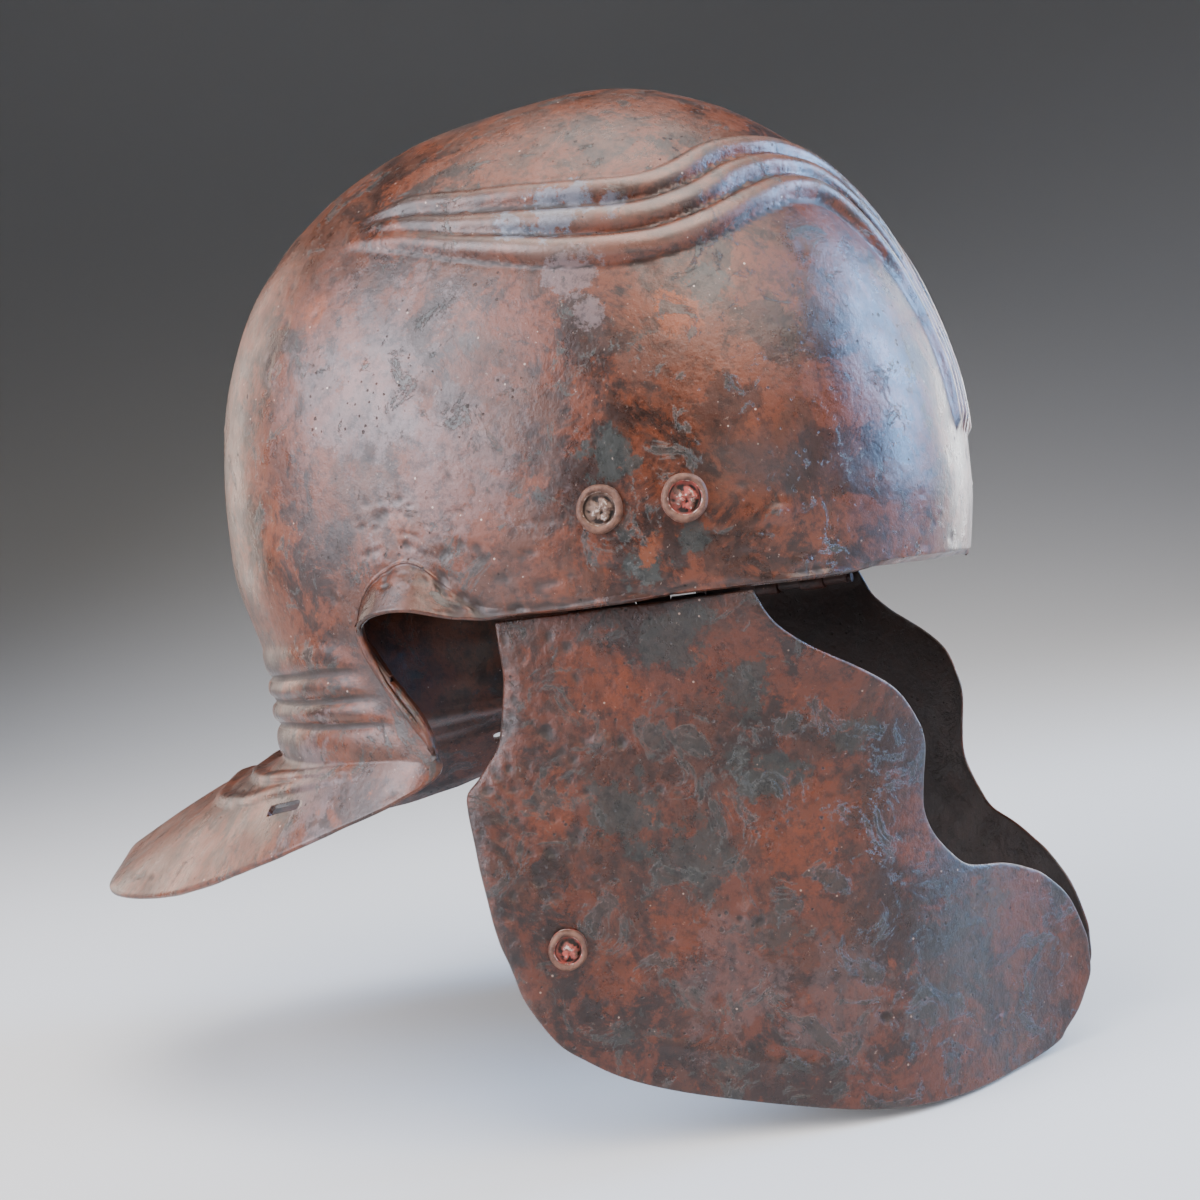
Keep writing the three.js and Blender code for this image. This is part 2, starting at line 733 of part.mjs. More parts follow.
// Extrudes an outline given across (outwards) and up, over a span along the hinge
function barSolid(outline, span) {
  const shape = new THREE.Shape(outline.map(([out, up]) => new THREE.Vector2(out, up)));
  const geometry = new THREE.ExtrudeGeometry(shape, { depth: span.to - span.from, bevelEnabled: false });
  const frame = new THREE.Matrix4().makeBasis(
    hingeOut,
    new THREE.Vector3(0, 0, 1),
    hingeOut.clone().cross(new THREE.Vector3(0, 0, 1))
  );
  geometry.applyMatrix4(frame);
  const origin = fromHinge(hingeAlong.dot(hingeOut.clone().cross(new THREE.Vector3(0, 0, 1))) > 0
    ? span.from : span.to, 0, 0);
  geometry.translate(origin.x, origin.y, origin.z);
  return toSolid(geometry);
}

// The leaf: a sheet that follows the bowl's inner face, with a strap and a knuckle at each even place
function leafGeometry() {
  const first = knuckleSpan(0).from;
  const last = knuckleSpan(hinge.knuckleCount - 1).to;
  const alongSteps = 5;
  const upSteps = 2;
  const points = [];
  [leafDepth, leafDepth + hinge.leafSheet].forEach((depth) => {
    for (let i = 0; i <= alongSteps; i += 1) {
      for (let k = 0; k <= upSteps; k += 1) {
        const level = lerp(hinge.leafBottom, hinge.leafTop, k / upSteps);
        const azimuth = azimuthAlong(lerp(first, last, i / alongSteps), level);
        points.push(skin(azimuth, level).addScaledVector(skinNormal(azimuth, level), -depth));
      }
    }
  });
  const across = upSteps + 1;
  const layer = (alongSteps + 1) * across;
  const triangles = [];
  const quad = (a, b, c, d) => triangles.push([a, b, c], [a, c, d]);
  for (let i = 0; i < alongSteps; i += 1) {
    for (let k = 0; k < upSteps; k += 1) {
      const a = i * across + k;
      quad(a, a + 1, a + across + 1, a + across);
      quad(a + layer, a + layer + across, a + layer + across + 1, a + layer + 1);
    }
    const low = i * across;
    const high = low + upSteps;
    quad(low, low + across, low + across + layer, low + layer);
    quad(high, high + layer, high + across + layer, high + across);
  }
  for (let k = 0; k < upSteps; k += 1) {
    const end = alongSteps * across + k;
    quad(k, k + layer, k + layer + 1, k + 1);
    quad(end, end + 1, end + layer + 1, end + layer);
  }
  let leaf = toSolid(closedGeometry(points, triangles));
  for (let index = 0; index < hinge.knuckleCount; index += 2) {
    const span = knuckleSpan(index);
    const face = Math.min(...[span.from, span.to].map((along) => {
      const azimuth = azimuthAlong(along, hinge.leafBottom);
      return skin(azimuth, hinge.leafBottom).sub(plateMiddle).dot(hingeOut) - leafDepth;
    }));
    const inner = -axisInset - hinge.leafKnuckleRadius;
    const foot = inner + hinge.leafSheet;
    const seat = hinge.leafBottom + hinge.axisBelowRim;
    const seatTop = seat + hinge.strapLap;
    const margin = hinge.strapMargin;
    leaf = leaf.add(barSolid([
      [inner, 0],
      [foot, 0],
      [foot, hinge.jogStart - hinge.jogDrop],
      [face - margin, seat],
      [face - margin, seatTop],
      [face - hinge.leafSheet + margin, seatTop],
      [face - hinge.leafSheet + margin, seat + hinge.strapChamfer],
      [inner, hinge.jogStart]
    ], span));
    leaf = leaf.add(knuckleSolid(index, hinge.leafKnuckleRadius));
  }
  leaf = leaf.subtract(boreSolid());
  rivetSpots().forEach((spot) => {
    leaf = leaf.subtract(toSolid(holeGeometry(spot)));
  });
  return toGeometry(leaf.asOriginal().simplify(plateTolerance));
}

function pinGeometry() {
  const gap = clearance;
  const first = knuckleSpan(0).from - gap;
  const last = knuckleSpan(hinge.knuckleCount - 1).to + gap;
  const rod = (radius, from, to) => toSolid(rodGeometry(
    radius,
    fromHinge(from, -axisInset, 0),
    fromHinge(to, -axisInset, 0)
  ));
  return toGeometry(rod(hinge.pinRadius, first - gap, last + gap)
    .add(rod(hinge.pinHeadRadius, first - hinge.pinHead, first))
    .add(rod(hinge.pinHeadRadius, last, last + hinge.pinHead)));
}

// How far the cheek guard's middle surface stands out from the hinge's plane
function guardOut(along, down) {
  const swell = guard.bulge * Math.sin((Math.PI * down) / guard.bulgeDepth);
  const rear = THREE.MathUtils.clamp((guard.flareStart - along) / guard.flareRun, 0, guard.flareMost) ** 2;
  const flare = guard.rearFlare * rear * THREE.MathUtils.clamp(down / guard.flareDepth, 0, 1);
  const past = along - guard.curlStart;
  const turn = (guard.curlSlope * (Math.hypot(past, guard.curlSoftness) + past)) / 2;
  const below = Math.max(down - guard.curlTop, 0);
  const grown = 1 - Math.exp(-(below ** 2) / ((below + guard.curlEase) * guard.curlFadeDepth));
  return swell + flare - guard.curlLimit * Math.tanh((turn * grown) / guard.curlLimit);
}

function guardPoint(along, down) {
  return fromHinge(along, guardOut(along, down), -down);
}

// The guard's normal towards the head
function guardNormal(along, down) {
  const step = 0.1;
  const alongWay = guardPoint(along + step, down).sub(guardPoint(along - step, down));
  const downWay = guardPoint(along, down + step).sub(guardPoint(along, down - step));
  return downWay.cross(alongWay).normalize();
}

// The cheek guard: a curved plate in rows from the top edge to the bottom, with its hinge knuckles
function guardGeometry() {
  const rows = [{ down: -guard.topAboveAxis, rear: guardOutline[0].rear, front: guardOutline[0].front }];
  guardOutline.forEach((row) => {
    rows.push({ down: row.down * guard.drop, rear: row.rear, front: row.front });
  });
  const points = [];
  [guard.plate / 2, -guard.plate / 2].forEach((offset) => {
    rows.forEach((row) => {
      for (let i = 0; i <= guardSpans; i += 1) {
        const along = guard.length * lerp(row.rear, row.front, i / guardSpans);
        points.push(guardPoint(along, row.down).addScaledVector(guardNormal(along, row.down), offset));
      }
    });
  });
  const across = guardSpans + 1;
  const layer = rows.length * across;
  const triangles = [];
  const quad = (a, b, c, d) => triangles.push([a, b, c], [a, c, d]);
  for (let r = 0; r < rows.length - 1; r += 1) {
    for (let i = 0; i < guardSpans; i += 1) {
      const a = r * across + i;
      quad(a, a + across, a + across + 1, a + 1);
      quad(a + layer, a + layer + 1, a + layer + across + 1, a + layer + across);
    }
    const rear = r * across;
    const front = rear + guardSpans;
    quad(rear, rear + layer, rear + layer + across, rear + across);
    quad(front, front + across, front + across + layer, front + layer);
  }
  for (let i = 0; i < guardSpans; i += 1) {
    const end = (rows.length - 1) * across + i;
    quad(i, i + 1, i + 1 + layer, i + layer);
    quad(end, end + layer, end + layer + 1, end + 1);
  }
  let plate = toSolid(closedGeometry(points, triangles));
  for (let index = 1; index < hinge.knuckleCount; index += 2) {
    plate = plate.add(knuckleSolid(index, hinge.guardKnuckleRadius));
  }
  plate = plate.subtract(boreSolid());
  plate = plate.subtract(toSolid(holeGeometry(tieRivetSpot())));
  return toGeometry(plate.asOriginal().simplify(plateTolerance));
}

function tieRivetSpot() {
  const out = guardNormal(tieRivet.along, tieRivet.down).negate();
  const point = guardPoint(tieRivet.along, tieRivet.down).addScaledVector(out, guard.plate / 2);
  return { point, out };
}

// The narrow slot on the left of the neck guard, one of the pair that held the carrying handle
function slotGeometry() {
  const step = 0.2;
  const spot = guardPlace(slot.place, slot.share);
  const ahead = guardPlace(slot.place - step, slot.share).point.sub(spot.point).normalize();
  const across = spot.up.clone().cross(ahead).normalize();
  const box = new THREE.BoxGeometry(slot.length, slot.width, slot.cutDepth);
  box.applyMatrix4(new THREE.Matrix4().makeBasis(ahead, across, spot.up));
  box.translate(spot.point.x, spot.point.y, spot.point.z);
  return box;
}

function bowlGeometry() {
  let solid = toSolid(shellGeometry());
  browGeometries().forEach((ridge) => {
    solid = solid.add(toSolid(ridge)).add(toSolid(mirrored(ridge)));
  });
  napeRibGeometries().concat(guardRingGeometries()).forEach((ridge) => {
    solid = solid.add(toSolid(ridge));
  });
  rivetSpots().forEach((spot) => {
    const hole = holeGeometry(spot);
    solid = solid.subtract(toSolid(hole)).subtract(toSolid(mirrored(hole)));
  });
  const handleSlot = slotGeometry();
  solid = solid.subtract(toSolid(handleSlot)).subtract(toSolid(mirrored(handleSlot)));
  return toGeometry(withoutSlivers(solid).asOriginal().simplify(bowlTolerance));
}

// Assembly

const helmet = new THREE.Group();

function addPiece(name, geometry, finish) {
  const mesh = new THREE.Mesh(geometry, new THREE.MeshStandardMaterial(finish));
  mesh.name = name;
  helmet.add(mesh);
}

// Adds a piece of the left side and its mirror image on the right side
function addPair(name, geometry, finish) {
  addPiece(`${name}_left`, geometry, finish);
  addPiece(`${name}_right`, mirrored(geometry), finish);
}

addPiece('bowl', bowlGeometry(), iron);
addPair('cheek_guard', guardGeometry(), iron);
addPair('hinge_leaf', leafGeometry(), darkIron);
addPair('hinge_pin', pinGeometry(), darkIron);
rivetSpots().forEach((spot, i) => {
  const grip = leafDepth + hinge.leafSheet + clearance;
  const geometry = toGeometry(toSolid(rivetGeometry(rivet.head, rivet.core, grip)));
  addPair(i === 0 ? 'bowl_rivet_rear' : 'bowl_rivet_front', placeOn(geometry, spot), rivetIron);
});
const tieShape = rivetGeometry(tieRivet.head, tieRivet.core, guard.plate + clearance);
addPair('tie_rivet', placeOn(toGeometry(toSolid(tieShape)), tieRivetSpot()), rivetIron);

export default helmet;
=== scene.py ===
"""Looks of a Roman legionary helmet: patinated iron bowl, neck guard and hinged cheek guards.

Sizes are in millimetres in the helmet's own frame (+Z up, front towards -Y, wearer's right towards -X)
and become metres when a mesh is made.
"""

import math
from types import SimpleNamespace as Sizes

import bpy
import numpy as np
from mathutils import Matrix, Vector, geometry, noise
from numpy.linalg import norm


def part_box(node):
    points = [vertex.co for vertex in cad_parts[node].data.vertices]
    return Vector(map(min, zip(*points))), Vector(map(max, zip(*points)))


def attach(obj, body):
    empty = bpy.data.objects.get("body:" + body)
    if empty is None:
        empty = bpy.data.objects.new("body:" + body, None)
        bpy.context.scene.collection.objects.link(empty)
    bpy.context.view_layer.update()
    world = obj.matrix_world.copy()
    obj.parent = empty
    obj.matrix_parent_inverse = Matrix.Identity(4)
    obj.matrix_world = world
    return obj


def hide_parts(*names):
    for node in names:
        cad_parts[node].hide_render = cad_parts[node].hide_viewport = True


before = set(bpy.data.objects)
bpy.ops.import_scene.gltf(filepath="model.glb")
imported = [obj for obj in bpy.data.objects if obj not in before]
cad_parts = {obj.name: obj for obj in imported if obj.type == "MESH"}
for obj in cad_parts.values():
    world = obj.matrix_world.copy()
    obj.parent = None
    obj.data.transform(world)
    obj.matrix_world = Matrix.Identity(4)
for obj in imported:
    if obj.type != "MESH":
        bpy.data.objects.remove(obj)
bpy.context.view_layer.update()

MM = 0.001
MIRROR = np.array([-1, 1, 1])
rng = np.random.default_rng(41)

# Sizes shared with the solids

BOWL = Sizes(
    half_width=98, front_reach=115.3, back_reach=115.9, centre_ahead=3.5, height=152.8,
    widest=34.5, wall=1.5, crown_ahead=13.7, plan_power=2.25, draw_settle=0.6, rim_band=1.4,
    # at the front, the side and the back: how square the dome is and how far the wall draws in
    powers=(1.9, 2.18, 2.65), draws=(0.027, 0.02, 0.051),
)
EAR = Sizes(rise=15, lip=8, flange=6)
NAPE = Sizes(drop=35, rib_height=1.3, groove_depth=0.7, groove_width=0.9, ear_margin=2.5, rib_start=6)
NECK = Sizes(half_width=97, reach=188.5, drop=76.5, arch=0.085, bend=0.32, ring_height=1.7, ring_width=7,
             ring_step=1.7, ring_place=12.4, ring_start=0.8, groove_width=0.9)
SLOT = Sizes(length=17, width=3.4, place=13.9, share=0.6, unevenness=0.3, cut=5)
BROW = Sizes(height=3.3, width=8.6, groove=0.35, groove_width=0.8, deepest=1.5, lowest=0.15)
GUARD = Sizes(
    length=150, drop=137, plate=1.2, bulge=1.7, bulge_depth=150, curl_start=79, curl_softness=25.5,
    curl_slope=2.4, curl_top=2, curl_ease=6, curl_fade=18, curl_limit=66, rear_flare=5.8,
    flare_start=10, flare_run=50, flare_most=1.3, flare_depth=60, top=2.2,
)
HINGE = Sizes(
    ahead=34, inset=10.5, yaw=12, below=3.7, axis_inset=3.2, bore=1.2, knuckle=2.9,
    knuckle_length=9, count=5, centre=11, gap=0.3, chamfer=0.3,
)
RIVET = Sizes(head=6, core=3.9, rise=1.7, shank=2, inner_head=3.6, inner_rise=1.2, grip=3.4,
              lift=0.42, ring_foot=0.15, skirt=0.25, moat=0.8, off_centre=(0.45, -0.35))
# Section of a rivet's core: share of its radius, and height as a share of the ring's
RIVET_CORE = ((0, 0.5), (0.18, 0.55), (0.36, 0.58), (0.52, 0.5), (0.66, 0.32), (0.8, 0.12), (0.92, 0.06),
              (1, 0.1))
TIE = Sizes(along=-21.8, down=83, head=5.2, core=3.3, grip=1.5)
RIVET_PLACES = ((2, 23), (23, 23))

# Stations of the bowl from the front to the back, with the columns that the fine net takes to the next
STATION_FIELDS = ("columns", "shoulder", "foot", "level", "lip", "ahead", "edge_level")
SIDE_STATIONS = (
    (54, 0, 0, 0, 0, 0, 0),
    (28, 40, 40, 0, 0, 0, 0),
    (16, 70, 71, 0, 0, 0, 0),
    (8, 86, 88, 0.02, 0.02, 0, 0),
    (9, 91.5, 92.5, 0.38, 0.38, 0, 0.08),
    (9, 96, 97, 0.98, 1, 0, 0.3),
    (9, 101, 101.5, 0.9, 1, 0.05, 0.32),
    (9, 106, 105.8, 0.46, 0.75, 0.3, 0.2),
    (8, 111, 107.6, -0.03, 0.5, 0.4, -0.03),
    (7, 116, 105.5, -0.37, 0.36, 0.3, -0.36),
    (7, 121, 101.5, -0.71, 0.36, 0.25, -0.71),
)
BACK_FIELDS = ("columns", "shoulder", "foot", "wide", "back", "down")
BACK_STATIONS = (
    (6, 126, 98.3, 0.95, 0.084, 0.49),
    (7, 131, 106, 1, 0.155, 0.59),
    (9, 138, 117, 0.99, 0.262, 0.675),
    (12, 148, 133, 0.94, 0.405, 0.78),
    (12, 159, 151, 0.78, 0.636, 0.92),
    (14, 170, 167, 0.5, 0.875, 0.955),
    (0, 180, 180, 0, 1, 0.855),
)

# Crests of one eyebrow's ridges: azimuth from the front, level as a share of the height, size as a share
BROW_RIDGES = (
    (
        (113, 0.732, 0.15), (102, 0.742, 0.55), (89, 0.716, 0.75), (77, 0.694, 0.8), (66, 0.683, 0.9),
        (59, 0.7, 1), (50, 0.741, 1), (38, 0.757, 1), (26, 0.752, 1), (16, 0.72, 0.85),
        (9, 0.63, 0.7), (4.5, 0.5, 0.5), (2.2, 0.36, 0.6), (1.8, 0.26, 0.55),
    ),
    (
        (112.5, 0.718, 0.15), (100, 0.7, 0.55), (88, 0.663, 0.8), (76, 0.637, 0.9), (66, 0.628, 1),
        (57, 0.652, 1), (47, 0.699, 1), (36, 0.717, 1), (25, 0.706, 1), (17, 0.66, 0.85),
        (11, 0.57, 0.7), (7, 0.46, 0.5), (4.9, 0.36, 0.6), (4.4, 0.26, 0.5),
    ),
    (
        (112, 0.704, 0.15), (98, 0.665, 0.6), (86, 0.612, 0.9), (76, 0.582, 1), (65, 0.576, 1),
        (56, 0.6, 1), (46, 0.643, 1), (36, 0.672, 1), (27, 0.662, 1), (20, 0.61, 0.85),
        (14, 0.53, 0.7), (9.8, 0.43, 0.55), (7.6, 0.34, 0.6), (7, 0.25, 0.5),
    ),
)
NAPE_RIBS = ((0.17, 4.2, 0.6), (0.395, 3.2, 1), (0.6, 3.2, 1), (0.85, 4.6, 0.9))
NAPE_GROOVES = (0.29, 0.5, 0.7)
NECK_RINGS = ((0.3, 0.2, 1), (0.52, 0.3, 0.8))

# Outline of a cheek guard: share of the drop, then where the rear and front edges lie along the hinge
GUARD_OUTLINE = (
    (0, -0.199, 0.243), (0.045, -0.197, 0.27), (0.09, -0.198, 0.313), (0.12, -0.202, 0.354),
    (0.15, -0.207, 0.398), (0.188, -0.214, 0.445), (0.222, -0.225, 0.471), (0.272, -0.26, 0.492),
    (0.297, -0.281, 0.498), (0.33, -0.283, 0.498), (0.395, -0.277, 0.488), (0.443, -0.273, 0.484),
    (0.49, -0.268, 0.496), (0.54, -0.263, 0.525), (0.572, -0.258, 0.555), (0.592, -0.254, 0.62),
    (0.62, -0.246, 0.672), (0.645, -0.24, 0.704), (0.7, -0.226, 0.744), (0.78, -0.183, 0.768),
    (0.82, -0.14, 0.77), (0.862, -0.08, 0.768), (0.9, 0.01, 0.752), (0.935, 0.135, 0.733),
    (0.965, 0.255, 0.705), (0.985, 0.36, 0.685), (1, 0.5, 0.62),
)

# Wear seen on the bowl's side: azimuth, level, radius and height (a pit is negative)
BOWL_MARKS = (
    (51.7, 16.6, 3.2, 1.1), (53, 13.5, 1.6, -0.7), (48.3, 4, 2, 0.9), (85.3, 61.6, 1, -0.8),
    (87.2, 46, 1.1, 0.4), (73.7, 67, 1.8, -0.9), (74.8, 70.5, 1.3, -0.6), (72.6, 63.5, 1.2, 0.5),
    (98, 55, 1.3, -0.5), (101, 49, 1.4, 0.6), (116, 52, 1.2, 0.5), (123, 36, 2, -0.8),
)
# Wear seen on the right cheek guard: place along, depth, radius and height
GUARD_MARKS = (
    (-5.8, 31.6, 2.6, 0.9), (-1.6, 32.4, 1.8, -0.9), (-8, 31.5, 1.5, 0.6), (6.5, 45.6, 1.4, -0.6),
    (1.5, 44.5, 1.1, -0.5), (11, 47, 1.2, -0.5), (24.9, 78.5, 2.4, 1.0), (27.5, 82, 1.6, -0.8),
    (22.5, 80.5, 1.4, -0.7), (55.7, 111.2, 1.6, -1.0), (52.6, 110.3, 1.2, 0.6), (36.8, 104.1, 1.5, 0.6),
    (86.5, 121.9, 1.2, 0.5), (-18.1, 57.2, 1.6, 0.6), (-19, 60.5, 1.3, -0.5),
)

# Faint raised line along a cheek guard's lower edge, and random wear all over it and near its rear edge
GUARD_LINE = Sizes(along=(-24, -17, 32, 60, 80), down=(100, 105.5, 120, 124.5, 125.5), height=0.45,
                   half_width=1.6, start=(-22, -8), end=(36, 62))
GUARD_SPOTS = 240
REAR_SPOTS = 420
# Marks higher than this are on both cheek guards
SHARED_MARK = 0.55
# The tone layer in the materials: pits, hollows and painted shade below 0, crests and edges above
EDGE_WEAR = 1.2
# Painted shade: the bowl's and the guards' inner faces, and the knuckles under the rim, are darkened
INSIDE_SHADE = -0.22
GUARD_INSIDE_SHADE = -0.6
KNUCKLE_SHADE = -0.3

# Rows of the bowl's fine net: over the crown, across the eyebrows and below them, then wall and lip
CROWN_ROWS = 13
BROW_ROWS = 38
LOW_ROWS = 16
BROW_TOP = 121
BROW_BOTTOM = 80
DOME_ROWS = CROWN_ROWS + BROW_ROWS + LOW_ROWS
WALL_ROWS = 50
WALL_SPREAD = 0.8
LIP_ROWS = 46
INNER_SKIP = 3
EDGE_ROUND = 0.45
RIM_REACH = 0.4
# Samples along an eyebrow's ridge, a cheek guard's outline and its top edge, and points handled at a time
RIDGE_SAMPLES = 260
OUTLINE_SAMPLES = 1600
TOP_SAMPLES = 120
BATCH = 4000
# Sides of a knuckle and of the slot, and sides of a rivet
ROUND_SIDES = 28
RIVET_SIDES = 56
# How far a dent is worked out, in radii, and how quickly it fades
DENT_REACH = 3
DENT_FALL = 1.6
# Height of the corroded core's lumps
BOWL_RIVET_ROUGHNESS = 0.9
TIE_ROUGHNESS = 0.7
# How far the sheet stays even round a rivet, in radii of its head
RIVET_CALM = 2.2
TIE_CALM = 3
# Raised line along the ear's crest: rows from the crease and height, and the stations where it fades
EAR_CREST = ((-2, 0.12), (-1, 0.35), (0, 0.6), (1, 0.35), (2, 0.12))
EAR_CREST_FRONT = (3.6, 5)
EAR_CREST_REAR = (7.6, 9)
# The rear edge of a cheek guard is rolled in by this much over this width
REAR_ROLL = 1.6
REAR_ROLL_WIDTH = 5.5
# Width over which a cheek guard's edge is rounded, and the spacing of its points
GUARD_EDGE = 0.9
GUARD_SPACING = 0.95
# Rows on each side of the crease that are rounded, and how many times
CREASE_ROWS = 3
CREASE_ROUNDS = 3
# Columns on each side of the back median that are rounded, and how many times
BACK_ROUND_COLUMNS = 9
BACK_ROUNDS = 14


# Smooth curves and the bowl's skin


def through(values, place):
    """Smooth curve through evenly counted rows of values, read at each place."""
    values = np.asarray(values, float)
    values = values.reshape(len(values), -1)
    place = np.atleast_1d(np.asarray(place, float))
    last = len(values) - 1
    i = np.clip(np.floor(place).astype(int), 0, last - 1)
    u = (place - i)[:, None]
    p1 = values[i]
    p2 = values[i + 1]
    p0 = np.where((i > 0)[:, None], values[np.maximum(i - 1, 0)], p1)
    p3 = np.where((i + 2 <= last)[:, None], values[np.minimum(i + 2, last)], p2)
    bend = (2 * p0 - 5 * p1 + 4 * p2 - p3) * u**2
    return 0.5 * (2 * p1 + (p2 - p0) * u + bend + (3 * p1 - p0 - 3 * p2 + p3) * u**3)


def ease(value, low, high):
    """Rises smoothly from 0 at low to 1 at high."""
    share = np.clip((value - low) / (high - low), 0, 1)
    return share**2 * (3 - 2 * share)


def signed_power(value, power):
    return np.sign(value) * np.abs(value) ** power


def unit(vectors):
    return vectors / np.maximum(norm(vectors, axis=-1, keepdims=True), 1e-9)


def skin(azimuth, level):
    """Points of the bowl's outer surface, azimuth in degrees from the front towards the wearer's left."""
    b = BOWL
    angle = np.radians(np.asarray(azimuth, float))
    level = np.asarray(level, float)
    front = np.maximum(np.cos(angle), 0) ** 2
    back = np.maximum(-np.cos(angle), 0) ** 2
    across = b.half_width * signed_power(np.sin(angle), 2 / b.plan_power)
    reach = np.where(np.cos(angle) > 0, b.front_reach, b.back_reach)
    ahead = reach * signed_power(np.cos(angle), 2 / b.plan_power)
    shares = (front, 1 - front - back, back)
    power = sum(value * share for value, share in zip(b.powers, shares))
    draw = sum(value * share for value, share in zip(b.draws, shares))
    lift = np.clip((level - b.widest) / (b.height - b.widest), 0, 1)
    depth = np.maximum(0, (b.widest - level) / b.widest) ** 4
    settled = (1 + b.draw_settle) * depth / (b.draw_settle + depth)
    scale = (1 - lift**power) ** (1 / power) - draw * settled
    y = -(b.centre_ahead + ahead * scale + b.crown_ahead * lift**2)
    return np.stack(np.broadcast_arrays(across * scale, y, level), -1)


def skin_normal(azimuth, level):
    step = 0.05
    low = np.minimum(level, BOWL.height - 2 * step)
    round_way = skin(azimuth + step, low) - skin(azimuth - step, low)
    up_way = skin(azimuth, low + step) - skin(azimuth, low - step)
    return unit(np.cross(round_way, up_way))


def station_feet():
    """Shoulder, foot, foot level and free edge of each station, one row each."""
    rows = []
    for values in SIDE_STATIONS:
        s = Sizes(**dict(zip(STATION_FIELDS, values)))
        size = EAR.rise if s.level >= 0 else NAPE.drop
        level = s.level * size + (BOWL.rim_band if s.level >= 0 else 0)
        edge_size = EAR.rise if s.edge_level >= 0 else NAPE.drop
        out = unit(skin_normal(s.foot, level) * np.array([1, 1, 0]))
        edge = skin(s.foot, min(level, 0))
        edge[2] = s.edge_level * edge_size
        edge = edge + out * s.lip * EAR.lip
        edge[1] -= s.ahead * EAR.flange
        rows.append([s.shoulder, s.foot, level, *edge])
    for values in BACK_STATIONS:
        s = Sizes(**dict(zip(BACK_FIELDS, values)))
        edge = (s.wide * NECK.half_width, s.back * NECK.reach, -s.down * NECK.drop)
        rows.append([s.shoulder, s.foot, -NAPE.drop, *edge])
    return np.array(rows)


FEET = station_feet()
LAST_STATION = len(FEET) - 1
EAR_REAR = slice(8, 12)


def lip_points(columns, share):
    """Points between the crease (share 0) and the free edge (share 1) of each column."""
    foot = skin(columns[:, 1], columns[:, 2])
    edge = columns[:, 3:6]
    reach = edge - foot
    bend = foot + NECK.bend * reach
    bend[:, 2] += NECK.arch * np.hypot(reach[:, 0], reach[:, 1])
    share = np.reshape(share, (-1, 1))
    first = foot + share * (bend - foot)
    second = bend + share * (edge - bend)
    return first + share * (second - first)


def fine_places():
    """Station places of the fine net's columns, from the front median to the back one."""
    counts = [row[0] for row in SIDE_STATIONS + BACK_STATIONS]
    places = [i + k / count for i, count in enumerate(counts) for k in range(count)]
    return np.array(places + [LAST_STATION])


# Relief of the bowl


def ridge_profile(distance, half_width):
    """Rounded section of an embossed ridge, 1 on its crest and 0 at its foot."""
    share = np.clip(np.abs(distance) / half_width, 0, 1)
    return (1 - share**2) ** 0.8


def brow_relief(points):
    """Height of the eyebrows' ridges at each point on both sides, and how far it lies in a groove."""
    height = np.zeros(len(points))
    groove = np.zeros(len(points))
    mirrored = points * np.where(points[:, :1] < 0, MIRROR, 1)
    near = np.flatnonzero(points[:, 2] > BROW.lowest * BOWL.height)
    for ridge in BROW_RIDGES:
        line = through(ridge, np.linspace(0, len(ridge) - 1, RIDGE_SAMPLES))
        crest = skin(line[:, 0], line[:, 1] * BOWL.height)
        size = line[:, 2]
        for start in range(0, len(near), BATCH):
            chosen = near[start:start + BATCH]
            gap = norm(mirrored[chosen, None] - crest[None], axis=2)
            nearest = gap.argmin(axis=1)
            gap = gap[np.arange(len(chosen)), nearest]
            fit = size[nearest]
            half = BROW.width * (0.5 + 0.5 * fit) / 2
            rise = BROW.height * fit * ridge_profile(gap, half)
            height[chosen] = np.maximum(height[chosen], rise)
            groove[chosen] += fit * np.exp(-(((gap - half) / BROW.groove_width) ** 2))
    groove = np.clip(groove, 0, BROW.deepest)
    return height - BROW.groove * groove, groove


def ear_edge_azimuth(level):
    """Azimuth of the ear opening's rear edge at levels below the rim."""
    rear = FEET[EAR_REAR]
    return np.interp(-level, -rear[:, 2], rear[:, 1])


def nape_relief(azimuth, level):
    """Rounded ribs round the nape with narrow grooves between them: height and depth in a groove."""
    start = ear_edge_azimuth(level) + NAPE.ear_margin
    fade = ease(azimuth, start, start + NAPE.rib_start)
    height = np.zeros_like(level)
    for place, half, size in NAPE_RIBS:
        rise = NAPE.rib_height * size * ridge_profile(level + place * NAPE.drop, half)
        height = np.maximum(height, rise)
    groove = np.zeros_like(level)
    for place in NAPE_GROOVES:
        sway = 0.5 * np.sin(np.radians(azimuth) * 9 + 40 * place)
        groove += np.exp(-(((level + place * NAPE.drop + sway) / NAPE.groove_width) ** 2))
    return (height - NAPE.groove_depth * groove) * fade, groove * fade


def neck_relief(place, share, length):
    """Half rings on the neck guard: each rises slowly and steps down towards the free edge."""
    first = NECK.ring_place
    turn = np.clip((place - first) / (2 * (LAST_STATION - first)), 0, 1)
    swing = np.sin(np.pi * turn)
    height = np.zeros_like(share)
    groove = np.zeros_like(share)
    for at_back, at_side, size in NECK_RINGS:
        crest = at_side + (at_back - at_side) * swing
        gap = (share - crest) * length
        fit = size * (0.15 + 0.85 * swing) * ease(place, first, first + NECK.ring_start)
        inner_slope = ridge_profile(gap, NECK.ring_width / 2) * (gap < 0)
        step = ridge_profile(gap, NECK.ring_step) * (gap >= 0)
        height = np.maximum(height, NECK.ring_height * fit * (inner_slope + step))
        # This groove is not carved: it only darkens the tone layer at the foot of each step as painted shade
        groove += fit * np.exp(-(((gap - NECK.ring_step) / NECK.groove_width) ** 2))
    return height, groove


